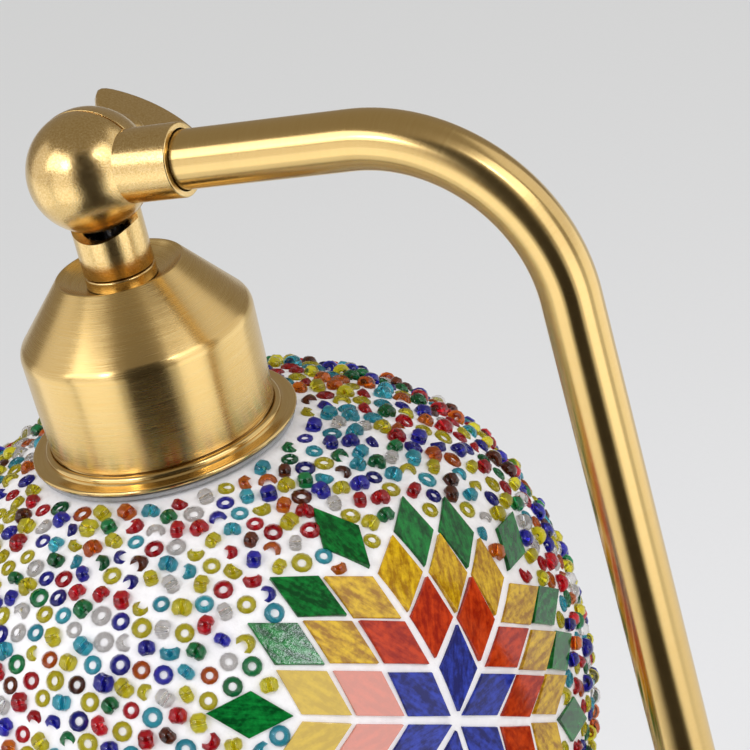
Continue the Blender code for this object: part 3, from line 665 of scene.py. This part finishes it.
combine(wing, turned_rod("shank", 1.8, -6.5, 15.0, ALONG_Y, 32), "UNION")
place_piece(wing, WING_PLACE)
finish_piece(wing, polished_brass, "wing", "wing_screw", slot="cast_brass")

# %% [markdown]
# ## The arm
# The arm is one tube: a short level part, a bend and the long upright. A circle is extruded along the arm,
# spun round the bend's center and extruded down. Each point then stores how far it lies along the tube, so
# the brushing can run round the tube everywhere.

# %% Bent tube
TUBE_RADIUS = 6.0
BEND_RADIUS = 36.0
BEND_STEPS = 40
reach = (UPRIGHT.x - PIVOT.x) / MM
bend_x = reach - BEND_RADIUS
bend_z = (math.sin(ARM_RISE) * bend_x - BEND_RADIUS) / math.cos(ARM_RISE)
arm_way = Vector((math.cos(ARM_RISE), 0, math.sin(ARM_RISE)))
arm_start = PIVOT + arm_way * 14.8 * MM
bend_center = PIVOT + Vector((bend_x, 0, bend_z)) * MM
bend_start = bend_center + Vector((-math.sin(ARM_RISE), 0, math.cos(ARM_RISE))) * BEND_RADIUS * MM
foot_z = foot_low.z

bpy.ops.object.select_all(action="DESELECT")
bpy.ops.mesh.primitive_circle_add(vertices=FINE_SIDES, radius=TUBE_RADIUS * MM, location=arm_start,
                                  rotation=(0, math.pi / 2 - ARM_RISE, 0))
tube = bpy.context.object
tube.name = "bent_tube"
bpy.ops.object.transform_apply()
bpy.ops.object.mode_set(mode="EDIT")
bpy.ops.mesh.select_all(action="SELECT")
for step in range(12):
    bpy.ops.mesh.extrude_edges_move(TRANSFORM_OT_translate={"value": tuple((bend_start - arm_start) / 12)})
bpy.ops.mesh.spin(steps=BEND_STEPS, angle=-(math.radians(90) + ARM_RISE), center=bend_center, axis=(0, 1, 0))
tube.update_from_editmode()
end_height = min(v.co.z for v in tube.data.vertices)
bpy.ops.mesh.select_all(action="DESELECT")
bpy.ops.object.mode_set(mode="OBJECT")
for vertex in tube.data.vertices:
    vertex.select = abs(vertex.co.z - end_height) < 1e-6
bpy.ops.object.mode_set(mode="EDIT")
for step in range(30):
    bpy.ops.mesh.extrude_edges_move(TRANSFORM_OT_translate={"value": (0, 0, (foot_z + 0.0003 - end_height) / 30)})
bpy.ops.mesh.select_all(action="SELECT")
bpy.ops.mesh.remove_doubles(threshold=1e-6)
bpy.ops.mesh.select_all(action="DESELECT")
bpy.ops.mesh.select_mode(type="EDGE")
bpy.ops.mesh.select_non_manifold()
bpy.ops.mesh.edge_face_add()
bpy.ops.mesh.select_mode(type="VERT")
bpy.ops.mesh.select_all(action="SELECT")
bpy.ops.mesh.normals_make_consistent(inside=False)
bpy.ops.object.mode_set(mode="OBJECT")


# %% Distance along the tube
def tube_place(point):
    """(distance along the tube, turn round it) of a point on its surface, in metres and whole turns."""
    arm_length = (bend_start - arm_start).length
    bend_length = BEND_RADIUS * MM * (math.radians(90) + ARM_RISE)
    from_center = point - bend_center
    if from_center.z <= 0:
        center = Vector((UPRIGHT.x, 0, point.z))
        outward = Vector((1, 0, 0))
        run = arm_length + bend_length - from_center.z
    else:
        lean = math.atan2(from_center.x, from_center.z)
        if lean <= -ARM_RISE:
            run = (point - arm_start).dot(arm_way)
            center = arm_start + arm_way * run
            outward = Vector((-math.sin(ARM_RISE), 0, math.cos(ARM_RISE)))
        else:
            outward = Vector((math.sin(lean), 0, math.cos(lean)))
            center = bend_center + outward * BEND_RADIUS * MM
            run = arm_length + BEND_RADIUS * MM * (lean + ARM_RISE)
    offset = point - center
    return run, math.atan2(offset.y, offset.dot(outward)) / math.tau


places = [tube_place(v.co) for v in tube.data.vertices]
along = tube.data.attributes.new("along", "FLOAT", "POINT")
along.data.foreach_set("value", [run for run, turn in places])
layer = tube.data.uv_layers.new(name="around")
for face in tube.data.polygons:
    first = places[face.vertices[0]][1]
    for loop, vert in zip(face.loop_indices, face.vertices):
        run, turn = places[vert]
        layer.data[loop].uv = (turn + round(first - turn), run * 20)
finish_piece(tube, tube_brass, "stand", "arm_tube", slot="satin_brass", angle=60)

# %% [markdown]
# ## Foot and base
# The base is a low spun disc with a rounded edge over an iron weight. A turned collar covers the fixing of
# the upright, and the cord would enter through a rubber bushing at the rear.

# %% Base
shell_low, shell_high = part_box("base_shell")
BASE_RADIUS = shell_high.x / MM
BASE_TOP = shell_high.z / MM
base_profile = [(40, BASE_TOP - 1.2)] + curve_of(BASE_RADIUS - 5, BASE_TOP - 5, 3.8, 90, 0, 8)
base_profile += [(BASE_RADIUS - 1.2, 2.6), (BASE_RADIUS - 0.3, 2.6), (BASE_RADIUS, 3.0)]
base_profile += curve_of(BASE_RADIUS - 5, BASE_TOP - 5, 5, 0, 90, 12)
base_profile += [(40, BASE_TOP), (1.0, BASE_TOP), (0, BASE_TOP)]
base = turn_on_lathe("base_cover", base_profile, 160)
place_piece(base, Matrix.Identity(4))
wrap_around(base, Matrix.Identity(4))
cord_low, cord_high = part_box("cord_bushing")
cord_z = (cord_low.z + cord_high.z) / 2 / MM
combine(base, turned_rod("cord_hole", 4.3, 70, 90, Matrix.Translation((0, 0, cord_z * MM)) @ ALONG_X, 48))
combine(base, turned_rod("leg_hole", 5.3, 10, 24, Matrix.Translation(UPRIGHT), 48))
finish_piece(base, base_brass, "stand", "base_shell", slot="satin_brass")

bushing_profile = [(2.8, 76.2), (3.9, 76.2), (3.9, 80.2), (5.2, 80.4)] + curve_of(4.9, 81.3, 0.6, -10, 90, 4)
bushing_profile += [(3.4, 82.1), (2.8, 81.6)]
bushing = turn_on_lathe("cord_inlet_bushing", bushing_profile, 48)
place_piece(bushing, Matrix.Translation((0, 0, cord_z * MM)) @ ALONG_X)
finish_piece(bushing, dark_rubber, "stand", "cord_bushing", slot="gasket")

foot = foot_low.z / MM
collar_profile = [(6.3, foot), (13.0, foot), (13.0, foot + 1.6)] + curve_of(12.6, foot + 1.6, 0.4, 0, 90, 3)
collar_profile += [(11.2, foot + 2.3), (9.8, foot + 3.2), (8.9, foot + 4.6), (8.4, foot + 6.4)]
collar_profile += [(8.2, foot + 8.4)] + curve_of(7.8, foot + 8.6, 0.4, 0, 90, 3) + [(6.3, foot + 9.0)]
foot_collar = turn_on_lathe("foot_collar", collar_profile, 96)
place_piece(foot_collar, Matrix.Translation(UPRIGHT))
wrap_around(foot_collar, Matrix.Translation(UPRIGHT))
finish_piece(foot_collar, foot_brass, "stand", "leg_escutcheon", slot="satin_brass")

pad = turn_on_lathe("base_soft_pad", [(76.4, 0.0), (77.0, 0.5), (77.0, 1.6), (76.5, 2.0), (0, 2.0)], 160)
finish_piece(pad, dark_rubber, "stand", "base_pad", slot="pad")

# %% [markdown]
# ## The globe
# The glass itself is hidden by the mosaic. What is seen is the grout's surface: a meridian that is fuller
# than a sphere above and round below, turned on the lathe and given a wall.

# %% Grout shell
NECK_RADIUS = 23.4
GLOBE_TOP = -61.3
GLOBE_RADIUS = 75.4
GLOBE_UPPER = 68.2
GLOBE_LOWER = 73.0
GLOBE_POWER = 2.53
COAT = 2.0
neck_share = (NECK_RADIUS / GLOBE_RADIUS) ** GLOBE_POWER
GLOBE_MIDDLE = GLOBE_TOP - GLOBE_UPPER * (1 - neck_share) ** (1 / GLOBE_POWER)


def globe_surface(direction, lift=0.0):
    """The point of the grout's surface in this direction from the globe's middle, and the outward normal there."""
    flat = math.hypot(direction[0], direction[1])
    high = direction[2]
    tall, power = (GLOBE_UPPER, GLOBE_POWER) if high > 0 else (GLOBE_LOWER, 2.0)
    size = ((flat / GLOBE_RADIUS) ** power + (abs(high) / tall) ** power) ** (-1 / power)
    point = Vector(direction) * size
    slope_flat = (flat * size / GLOBE_RADIUS) ** (power - 1) / GLOBE_RADIUS
    slope_high = math.copysign((abs(high) * size / tall) ** (power - 1) / tall, high)
    if flat < 1e-9:
        normal = Vector((0, 0, math.copysign(1, high)))
    else:
        normal = Vector((direction[0] / flat * slope_flat, direction[1] / flat * slope_flat, slope_high)).normalized()
    return point + normal * lift, normal


meridian = []
neck_polar = math.atan2(NECK_RADIUS, GLOBE_TOP - GLOBE_MIDDLE)
MERIDIAN_STEPS = 72
for step in range(MERIDIAN_STEPS):
    polar = neck_polar + (math.pi - neck_polar) * step / MERIDIAN_STEPS
    point, normal = globe_surface((math.sin(polar), 0, math.cos(polar)))
    meridian.append((point.x, point.z + GLOBE_MIDDLE))
meridian.append((0, GLOBE_MIDDLE - GLOBE_LOWER))
shell = turn_on_lathe("grout_shell", meridian, 160, closed=False)
pick(shell)
wall = shell.modifiers.new("wall", "SOLIDIFY")
wall.thickness = COAT * MM
wall.offset = -1
bpy.ops.object.modifier_apply(modifier=wall.name)
place_piece(shell, HEAD_PLACE)
finish_piece(shell, grout, "head", "mosaic_coat", slot="mosaic")

# %% [markdown]
# ## The stars
# Each star is six diamonds of small rhombic tiles. A plane star is drawn first: two directions thirty
# degrees either side of the arm of the star, and three by three tiles along them. The row that a tile lies in
# gives its color. The plane is then wrapped on the globe by keeping distances from the star's center.

# %% Star layout
TILE_PITCH = 10.6
TILE_SIDE = 9.95
TILE_HIGH = 0.45
SECTOR_GAP = 0.9
STAR_TURN = 0.0
STAR_CENTERS = [(-25.5, 14.9), (154.5, 14.9)]
ROW_COLORS = {1: "blue", 2: "red", 3: "amber", 4: "green"}

star_tiles = []
for arm_number in range(6):
    heading = math.radians(STAR_TURN + 60 * arm_number)
    side_a = Vector((math.cos(heading + math.pi / 6), math.sin(heading + math.pi / 6)))
    side_b = Vector((math.cos(heading - math.pi / 6), math.sin(heading - math.pi / 6)))
    for i in range(3):
        for j in range(3):
            if i + j < 4:
                middle = ((i + 0.5) * side_a + (j + 0.5) * side_b) * TILE_PITCH
                middle += Vector((math.cos(heading), math.sin(heading))) * SECTOR_GAP
                star_tiles.append((ROW_COLORS[i + j + 1], middle, heading))
    notch = side_a * (3 * TILE_PITCH + 10.2)
    star_tiles.append(("green", notch, heading + math.pi / 6))
print(len(star_tiles), "tiles in a star")


def star_basis(azimuth, height):
    """Three directions at the star's center: out of the globe, and the plane's X and Y."""
    azimuth, height = math.radians(azimuth), math.radians(height)
    out = Vector((math.cos(height) * math.cos(azimuth), math.cos(height) * math.sin(azimuth), math.sin(height)))
    side = Vector((-math.sin(azimuth), math.cos(azimuth), 0))
    return out, side, out.cross(side)


STAR_SPHERE = 75.0  # the globe is near enough to a ball of this radius round a star


def wrap_on_globe(flat_point, basis, lift):
    out, side, up = basis
    distance = flat_point.length
    if distance < 1e-6:
        return globe_surface(out, lift)
    angle = distance / STAR_SPHERE
    way = (side * flat_point.x + up * flat_point.y) / distance
    return globe_surface(out * math.cos(angle) + way * math.sin(angle), lift)


# %% [markdown]
# One tile is modelled and then copied. It is a rhombus of sheet glass, cut square and ground lightly at the
# edges. One bead is modelled too: a short, fat ring. The copies keep their own mesh, and each stores a tone
# and its own place in the glass's streaks, so that no two look the same.

# %% One tile and one bead
bpy.ops.object.select_all(action="DESELECT")
bpy.ops.mesh.primitive_plane_add(size=1)
tile = bpy.context.object
tile.name = "tile_master"
half_long = TILE_SIDE * math.cos(math.pi / 6)
half_short = TILE_SIDE * math.sin(math.pi / 6)
for vertex, corner in zip(tile.data.vertices, ((-half_long, 0), (0, -half_short), (0, half_short), (half_long, 0))):
    vertex.co = (corner[0], corner[1], -1.6)
pick(tile)
bpy.ops.object.mode_set(mode="EDIT")
bpy.ops.mesh.select_all(action="SELECT")
bpy.ops.mesh.extrude_region_move(TRANSFORM_OT_translate={"value": (0, 0, 1.6 + TILE_HIGH)})
bpy.ops.mesh.select_all(action="SELECT")
bpy.ops.mesh.normals_make_consistent(inside=False)
bpy.ops.object.mode_set(mode="OBJECT")
grind = tile.modifiers.new("grind", "BEVEL")
grind.width = 0.14
grind.segments = 2
bpy.ops.object.modifier_apply(modifier=grind.name)

RING_PROFILE = [(790, -620), (1230, -1140), (1880, -720), (1880, 720), (1230, 1140), (790, 620)]
BARREL_PROFILE = [(420, -1250), (1180, -1380), (1860, -720), (1860, 720), (1180, 1380), (420, 1250)]
# Painted shade at each profile point, 0 for none to 1 for most: on a ring the outer wall is darkest, on a barrel the
# ends are. It stands in for the dark outlines that thick glass shows.
RING_PAINTED_SHADE = [0.6, 0.0, 1.0, 1.0, 0.0, 0.6]
BARREL_PAINTED_SHADE = [1.0, 0.9, 0.1, 0.1, 0.9, 1.0]
ring_bead = turn_on_lathe("ring_bead_master", RING_PROFILE, 12)
barrel_bead = turn_on_lathe("barrel_bead_master", BARREL_PROFILE, 12)
print("tile", len(tile.data.polygons), "faces, bead", len(ring_bead.data.polygons), "faces")


def painted_shade_of(master, profile, painted_shades):
    """Painted shade at each corner of a bead: the nearest profile point says."""
    found = []
    for vertex in master.data.vertices:
        spot = (math.hypot(vertex.co.x, vertex.co.y), vertex.co.z)
        gaps = [math.dist(spot, (radius * MM, height * MM)) for radius, height in profile]
        found.append(painted_shades[gaps.index(min(gaps))])
    return found



# %% Copying helper
def copies_of(master, name, places, tones, material, soft_angle, painted_shades=None):
    """One mesh that holds a copy of master at every place, each copy with its own tone."""
    mesh = master.data
    points = np.empty(len(mesh.vertices) * 3)
    mesh.vertices.foreach_get("co", points)
    points = np.c_[points.reshape(-1, 3), np.ones(len(mesh.vertices))]
    faces = [list(face.vertices) for face in mesh.polygons]
    moved = np.concatenate([points @ np.array(place).T for place in places])[:, :3]
    count = len(mesh.vertices)
    all_faces = [[v + count * number for v in face] for number in range(len(places)) for face in faces]
    made = bpy.data.meshes.new(name)
    made.from_pydata(moved.tolist(), [], all_faces)
    tone = made.attributes.new("tone", "FLOAT", "POINT")
    tone.data.foreach_set("value", np.repeat(tones, count))
    # Beads also carry a painted shade at each corner, for the dark outlines of thick glass.
    if painted_shades:
        painted_shade = made.attributes.new("painted_shade", "FLOAT", "POINT")
        painted_shade.data.foreach_set("value", np.tile(painted_shades, len(places)))
    own = made.attributes.new("own_place", "FLOAT_VECTOR", "POINT")
    shifts = np.repeat(np.array(tones) * 977.0, count)
    local = np.tile(points[:, :3], (len(places), 1)) + shifts[:, None]
    own.data.foreach_set("vector", local.ravel())
    piece = bpy.data.objects.new(name, made)
    bpy.context.scene.collection.objects.link(piece)
    pick(piece)
    bpy.ops.object.shade_smooth_by_angle(angle=math.radians(soft_angle))
    piece.data.materials.append(material)
    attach(piece, "head")
    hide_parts("mosaic_coat")
    print(name, len(places), "copies,", len(all_faces), "faces")
    return piece


# %% [markdown]
# Stained glass for mosaics is rolled with streaks in it. Two tones of each color are mixed along stretched
# noise, and the tone of a tile shifts its place in the streaks. A tone above 0.9 blends the tile to a pale
# color: a painted glare, as a soft box's reflection would give.

# %% Stained glass
def stained_glass(name, dark, light, pale, clear=0.12):
    made, tree, shader = new_material(name, Roughness=0.05, Transmission_Weight=clear, Specular_IOR_Level=0.3)
    own = add_node(tree, "ShaderNodeAttribute", {"attribute_name": "own_place"}).outputs["Vector"]
    tone = add_node(tree, "ShaderNodeAttribute", {"attribute_name": "tone"}).outputs["Fac"]
    stretched = add_node(tree, "ShaderNodeVectorMath", {"operation": "MULTIPLY"}, i0=own, i1=(0.12, 0.45, 0.3)).outputs[0]
    streaks = noise(tree, stretched, 1.6, 4.0, 0.6)
    bubbles = noise(tree, own, 0.8, 3.0, 0.6)
    mixed = maths(tree, "ADD", maths(tree, "MULTIPLY", streaks, 0.65), maths(tree, "MULTIPLY", bubbles, 0.35))
    base = blend_colors(tree, spread(tree, mixed, 0, 1, 0.42, 0.60), dark, light)
    # Painted glare: a tone above 0.9 blends the tile toward the pale color, as a soft box's reflection would.
    final = blend_colors(tree, spread(tree, tone, 0, 0.68, 0.90, 0.93), base, pale)
    tree.links.new(final, shader.inputs["Base Color"])
    tree.links.new(spread(tree, bubbles, 0.03, 0.12), shader.inputs["Roughness"])
    tree.links.new(bump(tree, mixed, 0.25, 0.25), shader.inputs["Normal"])
    return made


# The third color of each glass is the pale color of its painted glare.
TILE_GLASS = {
    "blue": stained_glass("blue_glass", (0.007, 0.010, 0.12), (0.026, 0.048, 0.40), (0.04, 0.07, 0.48)),
    "red": stained_glass("red_glass", (0.30, 0.013, 0.003), (0.58, 0.048, 0.006), (0.88, 0.44, 0.36)),
    "amber": stained_glass("amber_glass", (0.34, 0.155, 0.004), (0.74, 0.46, 0.010), (0.76, 0.57, 0.17)),
    "green": stained_glass("green_glass", (0.001, 0.055, 0.010), (0.004, 0.21, 0.030), (0.02, 0.30, 0.09)),
}

# %% Set the tiles
bases = [star_basis(*center) for center in STAR_CENTERS]
tile_places = {color: [] for color in TILE_GLASS}
tile_tones_and_glare = {color: [] for color in TILE_GLASS}
for basis in bases:
    for color, middle, heading in star_tiles:
        ahead = Vector((math.cos(heading), math.sin(heading)))
        lift = random.uniform(-0.12, 0.12)
        middle = middle + Vector((random.uniform(-0.3, 0.3), random.uniform(-0.3, 0.3)))
        heading = heading + random.gauss(0, 0.035)
        point, normal = wrap_on_globe(middle, basis, lift)
        forward, unused_normal = wrap_on_globe(middle + ahead, basis, lift)
        lean = Matrix.Rotation(random.gauss(0, 0.014), 3, "X") @ Matrix.Rotation(random.gauss(0, 0.014), 3, "Y")
        long_way = (forward - point).normalized()
        across = normal.cross(long_way).normalized()
        long_way = across.cross(normal)
        turn = Matrix((long_way, across, normal)).transposed() @ lean
        squeeze = math.sin(middle.length / STAR_SPHERE) / (middle.length / STAR_SPHERE)
        turn = turn @ Matrix.Diagonal((random.uniform(0.95, 1.0), squeeze * random.uniform(0.95, 1.02), 1))
        place = Matrix.Translation(point + Vector((0, 0, GLOBE_MIDDLE))) @ turn.to_4x4()
        tile_places[color].append(HEAD_PLACE @ Matrix.Scale(MM, 4) @ place)
        # Painted glare: tiles other than green in one sector of the first star get a tone of 0.95, which paints them
        # pale.
        glare = basis is bases[0] and 126 < math.degrees(math.atan2(middle.y, middle.x)) % 360 < 165 and color != "green"
        tile_tones_and_glare[color].append(0.95 if glare else random.random() * 0.88)
for color, places in tile_places.items():
    copies_of(tile, f"{color}_tiles", places, tile_tones_and_glare[color], TILE_GLASS[color], 20)


# %% [markdown]
# Seed beads are cut from drawn glass tube. They are clear or deeply colored, and shine like wet glass.

# %% Bead glass
def bead_glass(name, dark, light, painted_shade_share=0.4, clear=0.95):
    made, tree, shader = new_material(name, Transmission_Weight=clear, IOR=1.5)
    tone = add_node(tree, "ShaderNodeAttribute", {"attribute_name": "tone"}).outputs["Fac"]
    own = add_node(tree, "ShaderNodeAttribute", {"attribute_name": "own_place"}).outputs["Vector"]
    swirl = noise(tree, own, 0.0009, 2.0)
    amount = maths(tree, "ADD", maths(tree, "MULTIPLY", tone, 0.4), spread(tree, swirl, 0.3, 0.9, 0.4, 0.6))
    glow = blend_colors(tree, amount, dark, light)
    painted_shade = add_node(tree, "ShaderNodeAttribute", {"attribute_name": "painted_shade"}).outputs["Fac"]
    # Painted shade: a corner's painted shade blends its color halfway toward a darker rim color, for the dark outlines
    # of thick glass.
    painted_rim_shade = tuple(part * painted_shade_share for part in dark)
    final = blend_colors(tree, maths(tree, "MULTIPLY", painted_shade, 0.5), glow, painted_rim_shade)
    tree.links.new(final, shader.inputs["Base Color"])
    tree.links.new(spread(tree, swirl, 0.02, 0.06), shader.inputs["Roughness"])
    return made


BEAD_GLASS = {
    "red": (bead_glass("red_bead_glass", (0.45, 0.001, 0.008), (0.94, 0.014, 0.03)), 15),
    "orange": (bead_glass("orange_bead_glass", (0.62, 0.055, 0.002), (0.97, 0.25, 0.012)), 9),
    "yellow": (bead_glass("yellow_bead_glass", (0.78, 0.66, 0.006), (1.0, 0.93, 0.04), 0.5), 23),
    "green": (bead_glass("green_bead_glass", (0.002, 0.08, 0.022), (0.014, 0.42, 0.12)), 11),
    "sky": (bead_glass("sky_bead_glass", (0.008, 0.34, 0.50), (0.09, 0.76, 0.94)), 15),
    "cobalt": (bead_glass("cobalt_bead_glass", (0.005, 0.004, 0.11), (0.04, 0.04, 0.74)), 15),
    "brown": (bead_glass("brown_bead_glass", (0.035, 0.004, 0.004), (0.24, 0.05, 0.015)), 7),
    "clear": (bead_glass("clear_bead_glass", (0.84, 0.83, 0.80), (0.98, 0.975, 0.96), 0.75), 12),
}

# %% [markdown]
# The beads are strewn by hand, as close as they go. Throwing darts gives the same look: a random spot is kept
# only if no bead is too near, and it isn't on a tile or too close to the neck. The beads then push each other
# apart a little, as a finger does when it spreads them.

# %% Where beads may lie
tile_middles = np.array([tuple(middle) for color, middle, heading in star_tiles])
tile_cos = np.array([math.cos(heading) for color, middle, heading in star_tiles])
tile_sin = np.array([math.sin(heading) for color, middle, heading in star_tiles])
BEAD_CLEARANCE = 1.7
NECK_MARGIN = 30.0


def surface_of(directions):
    """Points of the grout's surface in these directions."""
    flat = np.hypot(directions[:, 0], directions[:, 1])
    upper = directions[:, 2] > 0
    tall = np.where(upper, GLOBE_UPPER, GLOBE_LOWER)
    power = np.where(upper, GLOBE_POWER, 2.0)
    size = ((flat / GLOBE_RADIUS) ** power + (abs(directions[:, 2]) / tall) ** power) ** (-1 / power)
    return directions * size[:, None]


def kept_free(directions):
    """True where a bead would lie on a tile or too near the neck."""
    points = surface_of(directions)
    free = (directions[:, 2] > 0) & (np.hypot(points[:, 0], points[:, 1]) < NECK_MARGIN)
    for out, side, up in bases:
        angle = np.arccos(np.clip(directions @ np.array(out), -1, 1))
        near = np.flatnonzero(angle < 0.85)
        plane = np.stack([directions[near] @ np.array(side), directions[near] @ np.array(up)], 1)
        plane *= (angle[near] * STAR_SPHERE / np.maximum(np.linalg.norm(plane, axis=1), 1e-9))[:, None]
        offset = plane[:, None] - tile_middles[None]
        long_part = abs(offset[..., 0] * tile_cos + offset[..., 1] * tile_sin)
        short_part = abs(-offset[..., 0] * tile_sin + offset[..., 1] * tile_cos)
        free[near] |= (0.5 * long_part + 0.866 * short_part < 0.433 * TILE_SIDE + BEAD_CLEARANCE).any(1)
    return free


# %% Strew the beads
THROWS = 120000
BEAD_SPACING = 3.45
REST_GAP = 4.55
dice = np.random.default_rng(11)
heights = dice.uniform(-1, 1, THROWS)
azimuths = dice.uniform(0, math.tau, THROWS)
rings = np.sqrt(1 - heights ** 2)
throws = np.stack([rings * np.cos(azimuths), rings * np.sin(azimuths), heights], 1)
throws = throws[~kept_free(throws)]
grid = {}
kept = []
for number, point in enumerate(surface_of(throws)):
    cell = tuple(int(c // BEAD_SPACING) for c in point)
    near = [other for dx in (-1, 0, 1) for dy in (-1, 0, 1) for dz in (-1, 0, 1)
            for other in grid.get((cell[0] + dx, cell[1] + dy, cell[2] + dz), ())]
    if all(math.dist(other, point) > BEAD_SPACING for other in near):
        grid.setdefault(cell, []).append(tuple(point))
        kept.append(number)
directions = throws[kept]

for push_round in range(12):
    points = surface_of(directions)
    tree = KDTree(len(points))
    for number, point in enumerate(points):
        tree.insert(point, number)
    tree.balance()
    pushed = points.copy()
    for number, point in enumerate(points):
        for other, index, distance in tree.find_range(point, REST_GAP):
            if index != number:
                pushed[number] += (point - np.array(other)) * (0.35 * (REST_GAP - distance) / distance)
    moved = pushed / np.linalg.norm(pushed, axis=1)[:, None]
    blocked = kept_free(moved)
    directions = np.where(blocked[:, None], directions, moved)
spots = [globe_surface(direction) for direction in directions]
print(len(spots), "beads")

# %% Lay each bead flat, on its side or half buried
lying_rings = {color: [] for color in BEAD_GLASS}
lying_barrels = {color: [] for color in BEAD_GLASS}
color_names = list(BEAD_GLASS)
color_weights = [BEAD_GLASS[color][1] for color in color_names]
for point, normal in spots:
    color = random.choices(color_names, color_weights)[0]
    lean = random.random()
    if lean < 0.42:
        tilt, sink = random.gauss(0, 0.12), -0.40
    elif lean < 0.82:
        tilt, sink = math.pi / 2 + random.gauss(0, 0.15), 0.15
    else:
        tilt, sink = random.uniform(0.6, 1.1), -0.55
    spin = random.uniform(0, math.tau)
    size = random.uniform(0.90, 1.12)
    length = random.uniform(0.85, 1.1)
    side = normal.orthogonal().normalized()
    frame_turn = Matrix((side, normal.cross(side), normal)).transposed().to_4x4()
    turn = frame_turn @ Matrix.Rotation(spin, 4, "Z") @ Matrix.Rotation(tilt, 4, "X") @ Matrix.Rotation(spin * 3, 4, "Z")
    middle = point + normal * sink + Vector((0, 0, GLOBE_MIDDLE))
    place = Matrix.Translation(middle) @ turn @ Matrix.Diagonal((size, size, size * length, 1))
    pile = lying_barrels if 0.42 <= lean < 0.82 else lying_rings
    pile[color].append(HEAD_PLACE @ Matrix.Scale(MM, 4) @ place)
for kind, pile, master, profile, painted_shades in (
    ("ring_beads", lying_rings, ring_bead, RING_PROFILE, RING_PAINTED_SHADE),
    ("barrel_beads", lying_barrels, barrel_bead, BARREL_PROFILE, BARREL_PAINTED_SHADE),
):
    # Each bead's corners get the painted shade of the nearest profile point.
    vertex_painted_shades = painted_shade_of(master, profile, painted_shades)
    for color, places in pile.items():
        tones = [random.random() for place in places]
        copies_of(master, f"{color}_{kind}", places, tones, BEAD_GLASS[color][0], 75, vertex_painted_shades)
for master in (ring_bead, barrel_bead, tile):
    bpy.data.objects.remove(master, do_unlink=True)

# %% [markdown]
# ## Inner pieces
# The lampholder, the bulb and the fixings keep their CAD shapes. They only need their finishes.

# %% Finishes of the carried-over pieces
FINISHES = {
    zinc: ["base_plate", "plate_screw_1", "plate_screw_2", "plate_screw_3", "plate_screw_4", "leg_nipple", "leg_washer",
           "leg_nut", "arm_grub_screw", "spring_washer", "cup_washer", "cup_nut", "bulb_tip", "bulb_cap"],
    iron: ["base_weight"],
    black_plastic: ["friction_washer", "holder_dome", "holder_body"],
    ceramic: ["holder_insert"],
    polished_brass: ["centre_contact", "thread_sleeve", "neck_ring"],
    milk_glass: ["bulb_glass"],
    clear_glass: ["glass_globe"],
}
for finish, names in FINISHES.items():
    for name in names:
        node = frame["nodes"][name]
        node.data.materials.clear()
        node.data.materials.append(finish)
print(sum(len(names) for names in FINISHES.values()), "CAD pieces finished")
